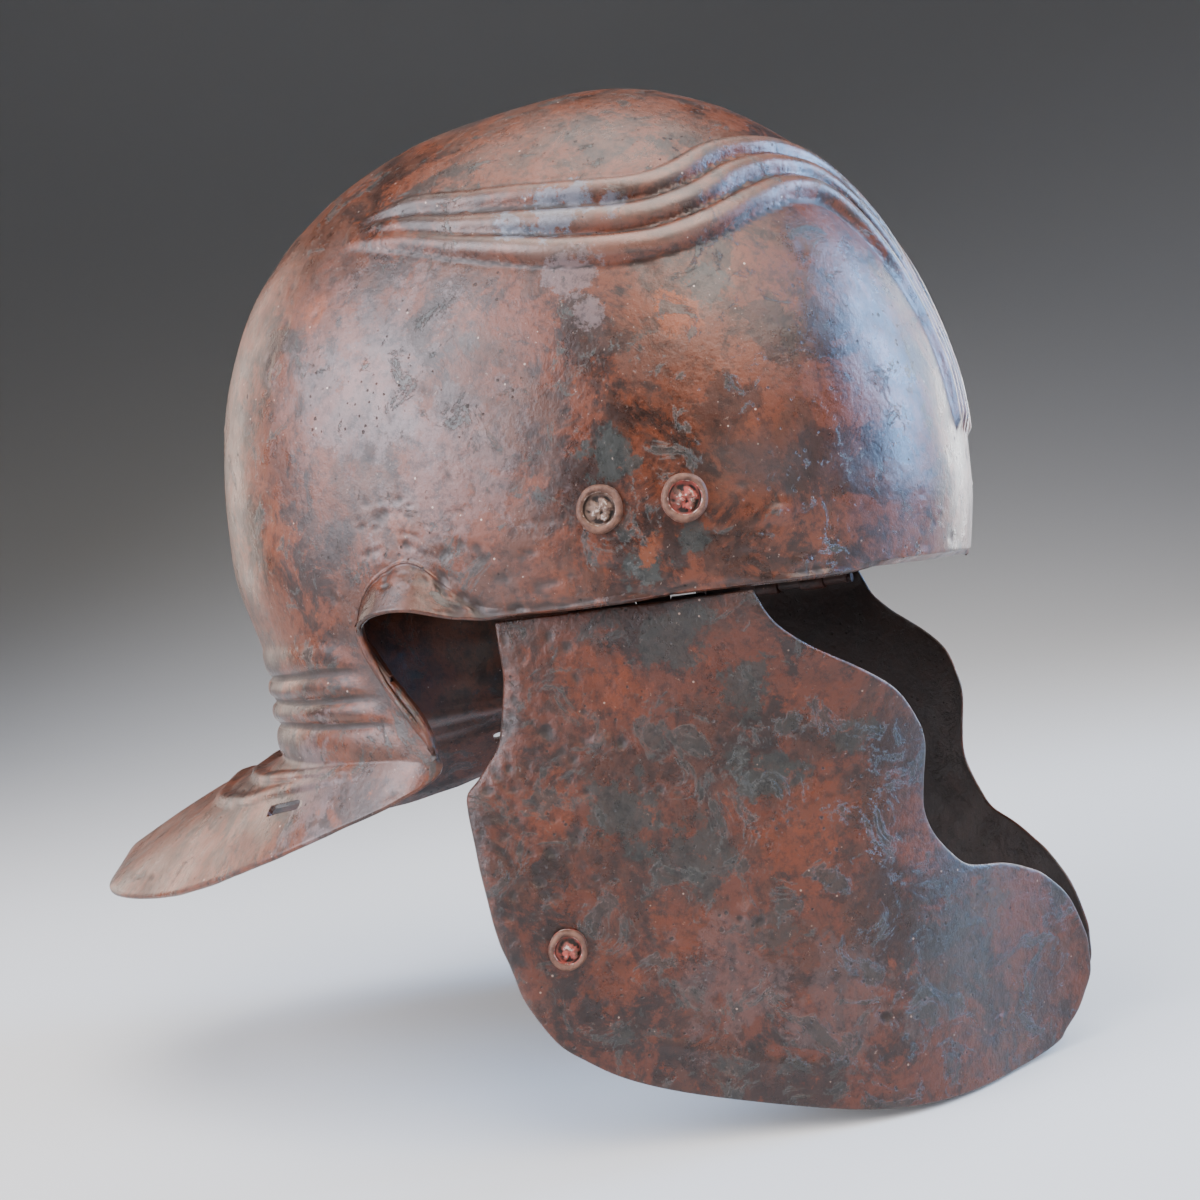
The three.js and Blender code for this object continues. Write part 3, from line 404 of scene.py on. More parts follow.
def dents(points, centres, radii, heights):
    """Sum of soft bumps (or pits, where the height is negative) at each point."""
    total = np.zeros(len(points))
    for centre, radius, height in zip(centres, radii, heights):
        near = np.flatnonzero(np.abs(points - centre).max(axis=1) < DENT_REACH * radius)
        if len(near):
            gap = norm(points[near] - centre, axis=1) / radius
            total[near] += height * np.exp(-(gap**2) * DENT_FALL)
    return total


def scattered(points, count, radius_range, height_range, keep):
    """Centres, radii and heights of random wear on chosen points."""
    pool = np.flatnonzero(keep)
    chosen = rng.choice(pool, count)
    radii = rng.uniform(*radius_range, count)
    heights = rng.uniform(*height_range, count)
    return points[chosen], radii, heights


def waviness(points, scale, height, seed):
    """Slow unevenness of hand-beaten sheet."""
    shift = Vector((seed * 7.3, seed * 3.1, seed * 5.7))
    values = [noise.noise(Vector(p) * scale + shift) for p in points]
    return height * np.array(values)


# Meshes


def linked(name, points, faces):
    """A new object whose mesh is given in millimetres."""
    mesh = bpy.data.meshes.new(name)
    mesh.from_pydata((points * MM).tolist(), [], [tuple(map(int, face)) for face in faces])
    made = bpy.data.objects.new(name, mesh)
    bpy.context.scene.collection.objects.link(made)
    return made


def make_piece(name, shape, body, node, material):
    """A smooth piece that rides on a body and stands for a solid; its shape has points, faces and a wear
    layer that holds painted shade too.
    """
    points, faces, wear = shape
    piece = linked(name, points, faces)
    piece.data.shade_smooth()
    layer = piece.data.attributes.new("wear", "FLOAT", "POINT")
    layer.data.foreach_set("value", np.asarray(wear, np.float32))
    piece.data.materials.append(material)
    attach(piece, body)
    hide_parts(node)
    return piece


def tube_faces(loops, sides, closed=False):
    """Quads between neighbouring loops of points, and from the last to the first where it is closed."""
    faces = []
    for k in range(loops if closed else loops - 1):
        after = (k + 1) % loops
        for i in range(sides):
            j = (i + 1) % sides
            faces.append((k * sides + i, k * sides + j, after * sides + j, after * sides + i))
    return faces


def on_side(side, points, faces):
    """A mesh of the wearer's left as it is (side 1) or mirrored to the right (side -1)."""
    if side > 0:
        return points, faces
    return points * MIRROR, [face[::-1] for face in faces]


def dome_levels():
    """Levels of the dome's rows from the crown down, closest together where the eyebrows run."""
    tall = BOWL.height - BOWL.widest
    reach = math.acos((BROW_TOP - BOWL.widest) / tall)
    crown = BOWL.widest + tall * np.cos(np.linspace(0, reach, CROWN_ROWS + 1)[1:])
    brows = np.linspace(BROW_TOP, BROW_BOTTOM, BROW_ROWS + 1)[1:]
    low = np.linspace(BROW_BOTTOM, BOWL.widest, LOW_ROWS + 1)[1:]
    return np.concatenate([crown, brows, low])


def bowl_net():
    """Outer points of the bowl on a net of columns and rows, with what the relief needs to know."""
    places = fine_places()
    columns = through(FEET, places)
    rows = []
    azimuths = []
    for level in dome_levels():
        rows.append(skin(columns[:, 0], level))
        azimuths.append(columns[:, 0])
    for k in range(1, WALL_ROWS + 1):
        share = (k / WALL_ROWS) ** WALL_SPREAD
        azimuth = columns[:, 0] + ease(share, 0, 1) * (columns[:, 1] - columns[:, 0])
        level = BOWL.widest + share * (columns[:, 2] - BOWL.widest)
        rows.append(skin(azimuth, level))
        azimuths.append(azimuth)
    for k in range(1, LIP_ROWS + 1):
        rows.append(lip_points(columns, np.full(len(places), k / LIP_ROWS)))
        azimuths.append(columns[:, 1])
    return places, np.stack(rows, 1), np.stack(azimuths, 1)


def soften_crease(net, reach, rounds):
    """Rounds the crease between wall and lip a little, as bent sheet is."""
    crease = DOME_ROWS + WALL_ROWS - 1
    for _ in range(rounds):
        span = slice(crease - reach, crease + reach + 1)
        before = net[:, crease - reach - 1:crease + reach]
        after = net[:, crease - reach + 1:crease + reach + 2]
        net[:, span] = 0.5 * net[:, span] + 0.25 * (before + after)
    return net


def net_normals(net, crown):
    before = np.roll(net, 1, axis=0)
    after = np.roll(net, -1, axis=0)
    above = np.concatenate([np.broadcast_to(crown, net[:, :1].shape), net[:, :-1]], axis=1)
    below = np.concatenate([net[:, 1:], net[:, -1:]], axis=1)
    return unit(np.cross(after - before, above - below))


def bowl_relief(net, places, azimuths):
    """Embossed relief of the outer skin in millimetres along the normal, and how deep grooves are."""
    count, rows = net.shape[:2]
    emboss, groove = (part.reshape(count, rows) for part in brow_relief(net.reshape(-1, 3)))
    wall = slice(DOME_ROWS, DOME_ROWS + WALL_ROWS)
    ribs, rib_grooves = nape_relief(azimuths[:, wall], net[:, wall, 2])
    emboss[:, wall] += ribs
    groove[:, wall] += rib_grooves
    lip = slice(DOME_ROWS + WALL_ROWS, rows)
    shares = np.broadcast_to(np.arange(1, LIP_ROWS + 1) / LIP_ROWS, (count, LIP_ROWS))
    lengths = norm(net[:, -1] - net[:, DOME_ROWS + WALL_ROWS - 1], axis=1)[:, None]
    rings, ring_grooves = neck_relief(np.broadcast_to(places[:, None], shares.shape), shares, lengths)
    emboss[:, lip] += rings
    groove[:, lip] += ring_grooves
    crease = DOME_ROWS + WALL_ROWS - 1
    ear = ease(places, *EAR_CREST_FRONT) * (1 - ease(places, *EAR_CREST_REAR))
    for step, height in EAR_CREST:
        emboss[:, crease + step] += height * ear
    return emboss, groove


def bowl_wear(flat):
    """Placed and scattered pits, blisters and the sheet's slow unevenness."""
    azimuths, levels, radii, heights = zip(*BOWL_MARKS)
    wear = dents(flat, [skin(-a, level) for a, level in zip(azimuths, levels)], radii, heights)
    calm = np.ones(len(flat))
    for along, level in RIVET_PLACES:
        head = skin(azimuth_along(along, level), level)
        gap = norm(flat - head, axis=1)
        other_gap = norm(flat * MIRROR - head, axis=1)
        calm *= ease(np.minimum(gap, other_gap), RIVET.head, RIVET_CALM * RIVET.head)
    everywhere = flat[:, 2] < BOWL.height
    low_side = (flat[:, 2] < 42) & (flat[:, 1] < 30) & (flat[:, 1] > -85)
    ear_front = (flat[:, 2] < 22) & (np.abs(flat[:, 1] + 12) < 22)
    for count, radii, heights, keep in (
        (240, (0.7, 1.8), (-0.35, -0.05), everywhere),
        (150, (0.7, 1.5), (0.1, 0.35), everywhere),
        (220, (0.7, 1.6), (-0.5, -0.15), low_side),
        (60, (0.9, 1.8), (-0.55, -0.2), ear_front),
    ):
        wear += dents(flat, *scattered(flat, count, radii, heights, keep))
    return (wear + waviness(flat, 0.028, 0.45, 1) + waviness(flat, 0.09, 0.16, 2)) * calm


def round_back(net, middle, reach, rounds):
    """Rounds the net over the back median, whose own column stays where it was."""
    median = net[middle].copy()
    for _ in range(rounds):
        part = net[middle - reach:middle + reach + 1].copy()
        net[middle - reach + 1:middle + reach] = 0.5 * part[1:-1] + 0.25 * (part[:-2] + part[2:])
    share = (1 - (np.arange(-reach, reach + 1) / reach) ** 2) ** 2
    net[middle - reach:middle + reach + 1] += share[:, None, None] * (median - net[middle])
    return net


def bowl_mesh():
    """Closed fine mesh of the bowl: outer skin, rounded free edge and a coarser inner skin."""
    places, half, azimuths = bowl_net()
    half = soften_crease(half, CREASE_ROWS, CREASE_ROUNDS)
    other = half[1:-1][::-1] * MIRROR
    net = round_back(np.concatenate([half, other]), len(half) - 1, BACK_ROUND_COLUMNS, BACK_ROUNDS)
    all_places = np.concatenate([places, places[1:-1][::-1]])
    all_azimuths = np.concatenate([azimuths, azimuths[1:-1][::-1]])
    crown = skin(0, BOWL.height)
    normals = net_normals(net, crown)
    count, rows = net.shape[:2]
    flat = net.reshape(-1, 3)
    emboss, groove = bowl_relief(net, all_places, all_azimuths)
    wear = bowl_wear(flat).reshape(count, rows)
    fade = np.ones(rows)
    fade[:3] = (0.2, 0.5, 0.8)
    outer = net + normals * (emboss + wear * fade)[..., None]
    roughness = waviness(flat, 0.12, 0.35, 3).reshape(count, rows)
    inner_full = net + normals * (emboss * 0.85 + (wear * 0.4 + roughness) * fade - BOWL.wall)[..., None]
    kept = np.arange(rows - 1, -1, -INNER_SKIP)[::-1]
    inner = inner_full[:, kept]
    out_way = unit(net[:, -1] - net[:, -2])
    reach = EDGE_ROUND + RIM_REACH * (1 - ease(all_places, 2.6, 4))
    rim = (outer[:, -1] + inner[:, -1]) / 2 + out_way * reach[:, None]
    points = [crown, crown - np.array([0, 0, BOWL.wall])]
    points = np.concatenate([np.array(points), outer.reshape(-1, 3), inner.reshape(-1, 3), rim])
    inner_rows = len(kept)
    first_inner = 2 + count * rows
    first_rim = first_inner + count * inner_rows
    pairs = [(a, (a + 1) % count) for a in range(count)]
    faces = [(0, 2 + a * rows, 2 + b * rows) for a, b in pairs]
    faces += [(1, first_inner + b * inner_rows, first_inner + a * inner_rows) for a, b in pairs]
    for a, b in pairs:
        p = 2 + a * rows
        q = 2 + b * rows
        faces += [(p + r, p + r + 1, q + r + 1, q + r) for r in range(rows - 1)]
        i = first_inner + a * inner_rows
        j = first_inner + b * inner_rows
        faces += [(i + r, j + r, j + r + 1, i + r + 1) for r in range(inner_rows - 1)]
        faces.append((p + rows - 1, first_rim + a, first_rim + b, q + rows - 1))
        faces.append((first_rim + a, i + inner_rows - 1, j + inner_rows - 1, first_rim + b))
    # Tone layer: crests paler, wear as it is, grooves between ridges and rings darkened as painted shade;
    # the inner skin darkened as painted shade, the free edge paler
    crest = (emboss * 0.5 + wear - 0.55 * groove).reshape(-1)
    hidden = np.full(count * inner_rows, INSIDE_SHADE)
    return points, faces, np.concatenate([[0, 0], crest, hidden, np.full(count, EDGE_WEAR)])


def neck_spot(place, share):
    """Point and frame of the neck guard's upper face on the wearer's left: forward way, across way, up."""
    step = 0.05

    def at(p, s):
        return lip_points(through(FEET, p), s)[0]

    point = at(place, share)
    forward = unit(at(place - 0.2, share) - point)
    up = unit(np.cross(at(place + step, share) - at(place - step, share),
                       at(place, share + step) - at(place, share - step)))
    up = up if up[2] > 0 else -up
    across = unit(np.cross(up, forward))
    return point, forward, across, up


def slot_cutter(side):
    """A worn, round-ended box that cuts the handle slot."""
    point, forward, across, up = neck_spot(SLOT.place, SLOT.share)
    turns = np.linspace(0, 2 * np.pi, ROUND_SIDES, endpoint=False)
    ring = np.stack([signed_power(np.cos(turns), 0.55) * SLOT.length / 2,
                     signed_power(np.sin(turns), 0.7) * SLOT.width / 2], 1)
    ring[:, 1] += SLOT.unevenness * np.sin(3 * turns)
    flip = np.array([side, 1, 1])
    loops = []
    for height in (-SLOT.cut, SLOT.cut):
        loops.append((point + ring[:, :1] * forward + ring[:, 1:] * across + height * up) * flip)
    n = len(turns)
    faces = [tuple(range(n))[::-side], tuple(range(n, 2 * n))[::side]]
    faces += [quad[::side] for quad in tube_faces(len(loops), n)]
    return linked("cutter", np.concatenate(loops), faces)


def cut(piece, cutters):
    """Cuts the piece and keeps the result as its own mesh."""
    for cutter in cutters:
        change = piece.modifiers.new("cut", "BOOLEAN")
        change.operation = "DIFFERENCE"
        change.solver = "MANIFOLD"
        change.object = cutter
    graph = bpy.context.evaluated_depsgraph_get()
    made = bpy.data.meshes.new_from_object(piece.evaluated_get(graph))
    piece.modifiers.clear()
    piece.data = made
    for cutter in cutters:
        bpy.data.objects.remove(cutter)


# Hinge frame of the wearer's left side

YAW = math.radians(HINGE.yaw)
HINGE_ALONG = np.array([-math.sin(YAW), -math.cos(YAW), 0])
HINGE_OUT = np.array([math.cos(YAW), -math.sin(YAW), 0])
HINGE_UP = np.array([0, 0, 1])
PLATE_MIDDLE = np.array([BOWL.half_width - HINGE.inset, -HINGE.ahead, -HINGE.below])


def from_hinge(along, out, up):
    along, out, up = np.broadcast_arrays(along, out, up)
    return (PLATE_MIDDLE + along[..., None] * HINGE_ALONG + out[..., None] * HINGE_OUT
            + up[..., None] * HINGE_UP)


def guard_out(along, down):
    """How far the cheek guard's middle surface stands out from the hinge's plane."""
    g = GUARD
    swell = g.bulge * np.sin(np.pi * down / g.bulge_depth)
    rear = np.clip((g.flare_start - along) / g.flare_run, 0, g.flare_most) ** 2
    flare = g.rear_flare * rear * np.clip(down / g.flare_depth, 0, 1)
    past = along - g.curl_start
    turn = g.curl_slope * (np.hypot(past, g.curl_softness) + past) / 2
    below = np.maximum(down - g.curl_top, 0)
    grown = 1 - np.exp(-(below**2) / ((below + g.curl_ease) * g.curl_fade))
    return swell + flare - g.curl_limit * np.tanh(turn * grown / g.curl_limit)


def guard_points(along, down):
    return from_hinge(along, guard_out(along, down), -down)


def guard_normals(along, down):
    step = 0.1
    along_way = guard_points(along + step, down) - guard_points(along - step, down)
    down_way = guard_points(along, down + step) - guard_points(along, down - step)
    return unit(np.cross(along_way, down_way))


def guard_outline(spacing):
    """Closed outline of a cheek guard in (along, down), front top corner first, round the bottom."""
    rows = np.array(GUARD_OUTLINE)
    down = rows[:, 0] * GUARD.drop
    front = np.stack([rows[:, 2] * GUARD.length, down], 1)
    rear = np.stack([rows[:, 1] * GUARD.length, down], 1)[::-1]
    top = -GUARD.top
    corners = [(front[0, 0], top), (rear[-1, 0], top)]
    keys = np.concatenate([[corners[0]], front[1:], rear[:-1], [corners[1]]])
    fine = through(keys, np.linspace(0, len(keys) - 1, OUTLINE_SAMPLES))
    fine = np.concatenate([fine, np.linspace(fine[-1], fine[0], TOP_SAMPLES)[1:]])
    run = np.concatenate([[0], np.cumsum(norm(np.diff(fine, axis=0), axis=1))])
    count = int(run[-1] / spacing)
    marks = np.linspace(0, run[-1], count, endpoint=False)
    return np.stack([np.interp(marks, run, fine[:, k]) for k in (0, 1)], 1)


def inside(points, outline):
    """Whether each point lies within the closed outline."""
    x, y = points.T
    result = np.zeros(len(points), bool)
    for (ax, ay), (bx, by) in zip(outline, np.roll(outline, -1, axis=0)):
        crosses = (ay > y) != (by > y)
        with np.errstate(divide="ignore", invalid="ignore"):
            reach = ax + (y - ay) * (bx - ax) / (by - ay)
        result ^= crosses & (x < reach)
    return result


def edge_distance(points, outline):
    """Distance of each point to the outline."""
    best = np.full(len(points), 1e9)
    for start in range(0, len(points), BATCH):
        part = points[start:start + BATCH]
        gap = norm(part[:, None] - outline[None], axis=2)
        best[start:start + BATCH] = gap.min(axis=1)
    return best


def guard_flat_mesh(spacing):
    """Triangles over the flat outline, with close rings near the edge: points, faces, edge distances."""
    outline = guard_outline(spacing)
    tangent = unit(np.roll(outline, -1, axis=0) - np.roll(outline, 1, axis=0))
    inward = np.stack([-tangent[:, 1], tangent[:, 0]], 1)
    if not inside(outline[:1] + 0.5 * inward[:1], outline)[0]:
        inward = -inward
    rings = []
    for depth in (0.22, 0.6, 1.2):
        ring = outline + depth * inward
        good = inside(ring, outline) & (edge_distance(ring, outline) > 0.8 * depth)
        rings.append(ring[good])
    low = outline.min(0)
    high = outline.max(0)
    xs = np.arange(low[0], high[0], spacing)
    ys = np.arange(low[1], high[1], spacing * 0.87)
    grid = np.stack(np.meshgrid(xs, ys), -1)
    grid[1::2, :, 0] += spacing / 2
    grid = grid.reshape(-1, 2)
    grid = grid[inside(grid, outline)]
    grid = grid[edge_distance(grid, outline) > 1.2 + 0.55 * spacing]
    points = np.concatenate([outline] + rings + [grid])
    ring_of_edges = list(range(len(outline)))
    made = geometry.delaunay_2d_cdt([Vector(p) for p in points.tolist()], [], [ring_of_edges], 1, 1e-5)
    flat = np.array([tuple(p) for p in made[0]])
    faces = [tuple(face) for face in made[2]]
    gaps = edge_distance(flat, outline)
    gaps[gaps < 0.02] = 0
    return flat, faces, gaps


def guard_relief(flat, side):
    """Embossing and wear of a cheek guard's outer face."""
    along, down = flat.T
    line = GUARD_LINE
    course = np.interp(along, line.along, line.down)
    stretch = ease(along, *line.start) * (1 - ease(along, *line.end))
    emboss = line.height * stretch * np.exp(-(((down - course) / line.half_width) ** 2))
    marks = [mark for mark in GUARD_MARKS if side < 0 or mark[3] > SHARED_MARK]
    few = GUARD_SPOTS
    spots = [(rng.uniform(along.min(), along.max(), few), rng.uniform(0, down.max(), few),
              rng.uniform(0.6, 1.9, few), rng.uniform(-0.3, 0.3, few) * rng.uniform(0.3, 1.3, few))]
    spots.append([rng.uniform(low, high, REAR_SPOTS)
                  for low, high in ((-42, -10), (0, 100), (0.8, 1.7), (-0.65, 0.35))])
    wear = np.zeros(len(flat))
    for place, depth, size, height in marks + [spot for group in spots for spot in zip(*group)]:
        reach = DENT_REACH * size
        near = np.flatnonzero((np.abs(along - place) < reach) & (np.abs(down - depth) < reach))
        gap = np.hypot(along[near] - place, down[near] - depth) / size
        wear[near] += height * np.exp(-DENT_FALL * gap**2)
    return emboss, wear


def guard_mesh(side):
    """A cheek guard's plate for the wearer's left (side 1) or right (side -1)."""
    flat, faces, gaps = guard_flat_mesh(GUARD_SPACING)
    along, down = flat.T
    middle = guard_points(along, down)
    normals = guard_normals(along, down)
    emboss, wear = guard_relief(flat, side)
    slow = waviness(middle, 0.03, 0.6, 4 + side) + waviness(middle, 0.1, 0.14, 7 + side)
    keep = ease(gaps, 0.3, 2.5)
    round_share = np.sqrt(1 - (1 - np.clip(gaps / GUARD_EDGE, 0, 1)) ** 2)
    half = GUARD.plate / 2 * round_share
    from_tie = np.hypot(along - TIE.along, down - TIE.down)
    calm = ease(from_tie, TIE.head, TIE_CALM * TIE.head)
    keep = keep * calm
    shift = emboss + slow * ease(down, -2, 12) * calm
    rolled = ease(along, -18, -26) * ease(down, 2, 14) * (1 - ease(down, 86, 110))
    shift = shift - REAR_ROLL * rolled * np.clip(1 - gaps / REAR_ROLL_WIDTH, 0, 1) ** 2
    outer = middle + normals * (shift + half + wear * keep)[:, None]
    inner = middle + normals * (shift * 0.9 - half - 0.2 * np.abs(wear) * keep)[:, None]
    shared = gaps == 0
    edge = middle + normals * shift[:, None]
    outer[shared] = edge[shared]
    number = np.arange(len(flat))
    inner_number = np.where(shared, number, 0)
    inner_number[~shared] = len(flat) + np.arange((~shared).sum())
    points = np.concatenate([outer, inner[~shared]])
    a, b, c = (flat[np.array(faces)[:, k]] for k in range(3))
    turns = np.cross(b - a, c - a)
    front = [face if turn > 0 else face[::-1] for face, turn in zip(faces, turns)]
    back = [tuple(int(inner_number[i]) for i in face[::-1]) for face in front]
    worn = (emboss + wear) * keep + EDGE_WEAR * (1 - ease(gaps, 0.1, GUARD_EDGE))
    # Painted shade: the inner face is darkened
    layer = np.concatenate([worn, np.full((~shared).sum(), GUARD_INSIDE_SHADE)])
    return points, list(front) + back, layer


def knuckle_mesh(index):
    """A guard's hinge knuckle: a tube round the pin with softened ends."""
    h = HINGE
    start = h.centre - h.count * h.knuckle_length / 2 + index * h.knuckle_length
    low = start + h.gap / 2
    high = start + h.knuckle_length - h.gap / 2
    turns = np.linspace(0, 2 * np.pi, ROUND_SIDES, endpoint=False)
    section = ((low, h.bore), (low, h.knuckle - h.chamfer), (low + h.chamfer, h.knuckle),
               (high - h.chamfer, h.knuckle), (high, h.knuckle - h.chamfer), (high, h.bore))
    loops = [from_hinge(np.full(ROUND_SIDES, place), radius * np.cos(turns) - h.axis_inset,
                        radius * np.sin(turns)) for place, radius in section]
    return np.concatenate(loops), tube_faces(len(section), ROUND_SIDES, closed=True)


def guard_with_knuckles(side):
    """A cheek guard's plate with its knuckles: points, faces and a wear layer that holds painted shade too.
    """
    points, faces, layer = guard_mesh(side)
    for index in range(1, HINGE.count, 2):
        more, tube = knuckle_mesh(index)
        start = len(points)
        points = np.concatenate([points, more])
        faces += [tuple(i + start for i in face) for face in tube]
        # Painted shade: the knuckles, under the bowl's rim, are darkened
        layer = np.concatenate([layer, np.full(len(more), KNUCKLE_SHADE)])
    return *on_side(side, points, faces), layer


# Rivets


def azimuth_along(along, level):
    """Azimuth at which the skin at a level meets a place along the hinge."""
    low = 20.0
    high = 100.0
    for _ in range(30):
        middle = (low + high) / 2
        if (skin(middle, level) - PLATE_MIDDLE) @ HINGE_ALONG > along:
            low = middle
        else:
            high = middle
    return (low + high) / 2


def rivet_profile(head, core, grip):
    """Radius and height of a rivet's section: sunken core, ring, shank and the head inside."""
    r = RIVET
    profile = [(core * out, r.rise * up + r.lift) for out, up in RIVET_CORE]
    for share in np.linspace(0.1, 1, 12):
        angle = math.pi * (1 - share)
        up = r.ring_foot + (1 - r.ring_foot) * math.sin(angle)
        profile.append(((core + head) / 2 + (head - core) / 2 * math.cos(angle), r.lift + r.rise * up))
    profile += [(head, r.skirt), (r.shank, r.skirt), (r.shank, -grip), (r.inner_head, -grip)]
    profile += [(r.inner_head * math.cos(a), -grip - r.inner_rise * math.sin(a)) for a in (0.4, 0.8, 1.2)]
    return profile + [(0, -grip - r.inner_rise)]


def rivet_mesh(point, out, head, core, grip, side, roughness):
    """A ringed rivet with a corroded core: points, faces and wear."""
    profile = rivet_profile(head, core, grip)
    turns = np.linspace(0, 2 * np.pi, RIVET_SIDES, endpoint=False)
    wobble = 1 + 0.03 * np.sin(2 * turns + side) + 0.012 * np.sin(5 * turns + 2 * side)
    radii = np.array(profile)[:, :1] * wobble
    heights = np.repeat(np.array(profile)[:, 1:], RIVET_SIDES, axis=1)
    local = np.stack([radii * np.cos(turns), radii * np.sin(turns), heights], -1)
    shift = Vector((head * side, RIVET.rise, grip))
    worn = np.array([noise.fractal(Vector(p) * 0.6 + shift, 0.8, 2.1, 4)
                     for p in local.reshape(-1, 3)]).reshape(heights.shape)
    outside = ease(heights, 0.3, 0.9)
    middle = 1 - ease(radii, core * 0.7, core)
    local[..., 2] += worn * outside * (roughness * middle + 0.1)
    moat = np.exp(-(((radii - core * 0.93) / RIVET.moat) ** 2)) * outside
    local[..., :2] += middle[..., None] * RIVET.off_centre
    local[0, :, 2] = local[0, :, 2].mean()
    side_way = unit(np.cross(out, (0, 0, 1)))
    up_way = np.cross(side_way, out)
    frame_axes = np.stack([side_way, up_way, out])
    points = point + local.reshape(-1, 3) @ frame_axes
    faces = tube_faces(len(profile), RIVET_SIDES)
    ring = ease(radii, core * 0.97, core * 1.12)
    core_layer = 0.3 + 1.1 * worn * middle - 1.8 * moat
    layer = (outside * (ring * 1.5 + (1 - ring) * core_layer)).reshape(-1)
    return *on_side(side, points, faces), layer


# Materials


class Nodes:
    """Short way to add shader nodes and join them."""

    def __init__(self, name):
        self.material = bpy.data.materials.new(name)
        self.material.use_nodes = True
        self.tree = self.material.node_tree
        self.shader = self.tree.nodes["Principled BSDF"]
        self.place = self.add("ShaderNodeTexCoord").outputs["Object"]

    def add(self, kind, values=(), links=(), **options):
        node = self.tree.nodes.new(kind)
        for key, value in options.items():
            setattr(node, key, value)
        for key, value in dict(values).items():
            node.inputs[key].default_value = value
        for key, output in dict(links).items():
            self.tree.links.new(output, node.inputs[key])
        return node

    def noise(self, scale, detail, roughness=0.6, distortion=0.0):
        values = {"Scale": scale, "Detail": detail, "Roughness": roughness, "Distortion": distortion}
        return self.add("ShaderNodeTexNoise", values, {"Vector": self.place}).outputs["Fac"]

    def cells(self, scale):
        return self.add("ShaderNodeTexVoronoi", {"Scale": scale}, {"Vector": self.place}).outputs["Distance"]

    def ramp(self, value, low, high, low_to=0.0, high_to=1.0):
        values = {"From Min": low, "From Max": high, "To Min": low_to, "To Max": high_to}
        made = self.add("ShaderNodeMapRange", values, {"Value": value}, interpolation_type="SMOOTHSTEP")
        return made.outputs["Result"]

    def fill(self, sockets, values):
        """Sets each socket to a number or colour, or links it to another node."""
        for socket, value in zip(sockets, values):
            if isinstance(value, (int, float)):
                socket.default_value = value
            elif isinstance(value, tuple):
                socket.default_value = (*value, 1)
            else:
                self.tree.links.new(value, socket)

    def sum(self, first, second, operation="ADD"):
        made = self.add("ShaderNodeMath", operation=operation)
        self.fill(made.inputs, (first, second))
        return made.outputs[0]

    def times(self, first, second):
        return self.sum(first, second, "MULTIPLY")

    def mix(self, share, first, second, kind="MIX"):
        made = self.add("ShaderNodeMix", data_type="RGBA", blend_type=kind)
        self.fill((made.inputs[0], made.inputs[6], made.inputs[7]), (share, first, second))
        return made.outputs[2]

    def cover(self, below, share, strength, top):
        return self.mix(self.times(share, strength), below, top)

    def blob(self, centre, radius):
        """1 inside a ragged patch round a point given in millimetres, fading to 0."""
        at = tuple(c * MM for c in centre)
        away = self.add("ShaderNodeVectorMath", {1: at}, {0: self.place}, operation="DISTANCE")
        far = self.sum(away.outputs["Value"], self.times(self.rag, RAGGED * radius * MM))
        return self.ramp(far, radius * MM * 1.1, radius * MM * 0.8)

    def finish(self, colour, roughness, metallic, height, strength, distance):
        """Links the shader; its bump's distance is in millimetres."""
        values = {"Strength": strength, "Distance": distance * MM}
        bump = self.add("ShaderNodeBump", values, {"Height": height})
        sockets = [self.shader.inputs[key] for key in ("Base Color", "Roughness", "Metallic", "Normal")]
        self.fill(sockets, (colour, roughness, metallic, bump.outputs["Normal"]))
        return self.material


# How far a patch of colour strays from a round one
RAGGED = 5.5

DARK = (0.03, 0.013, 0.009)
BROWN = (0.085, 0.031, 0.017)
RED = (0.135, 0.036, 0.015)
RUST = (0.22, 0.05, 0.011)
SLATE = (0.034, 0.04, 0.037)
BLUE = (0.11, 0.145, 0.19)
# Painted sheen: a soft lilac reflection put into the colour
LILAC_SHEEN = (0.14, 0.1, 0.1)
PALE = (0.46, 0.36, 0.3)
BLACK = (0.02, 0.012, 0.009)

# Patches of colour on the bowl's right side: colour, azimuth, level, radius and strength; the lilac ones are
# painted sheen, the two broad ones a soft reflection band on the side
BOWL_PATCHES = (
    (LILAC_SHEEN, 103, 68, 26, 0.45), (LILAC_SHEEN, 92, 40, 20, 0.35), (RED, 120, 50, 14, 0.6),
    (RED, 110, 84, 11, 0.55), (RUST, 114, 88, 5, 0.45), (RUST, 122, 30, 8, 0.35),
    (BLUE, 78, 100, 8, 0.75), (BLUE, 84, 96, 5, 0.7), (BLUE, 70, 98, 4.5, 0.6),
    (LILAC_SHEEN, 76, 83, 6, 0.8), (LILAC_SHEEN, 74, 72, 3.5, 0.8), (SLATE, 73, 37, 6.5, 0.85),
    (SLATE, 70, 8, 6, 0.85), (SLATE, 64, 13, 4, 0.8), (SLATE, 66, 60, 7, 0.75), (SLATE, 57, 74, 7, 0.7),
    (RUST, 63, 70, 5.5, 0.8), (RUST, 61, 66, 3, 0.85), (RED, 60, 55, 16, 0.6),
    (RUST, 70, 11, 3.5, 0.6), (RUST, 55, 38, 4, 0.45), (DARK, 49, 66, 10, 0.75),
    (DARK, 43, 28, 9, 0.75), (DARK, 57, 44, 7, 0.65), (RED, 49, 78, 8, 0.6),
    (SLATE, 89, 70, 3, 0.5), (RUST, 98, 26, 4, 0.35), (RED, 60, 90, 7, 0.5),
)
# Patches of colour on both sides of the neck guard: colour, station, share of the reach, radius and
# strength; the lilac one is painted sheen
NECK_PATCHES = (
    (LILAC_SHEEN, 13.4, 0.4, 15, 0.6), (DARK, 12.6, 0.75, 9, 0.6), (RED, 14.4, 0.82, 9, 0.5),
    (BLACK, SLOT.place, SLOT.share, 6.5, 0.75),
)
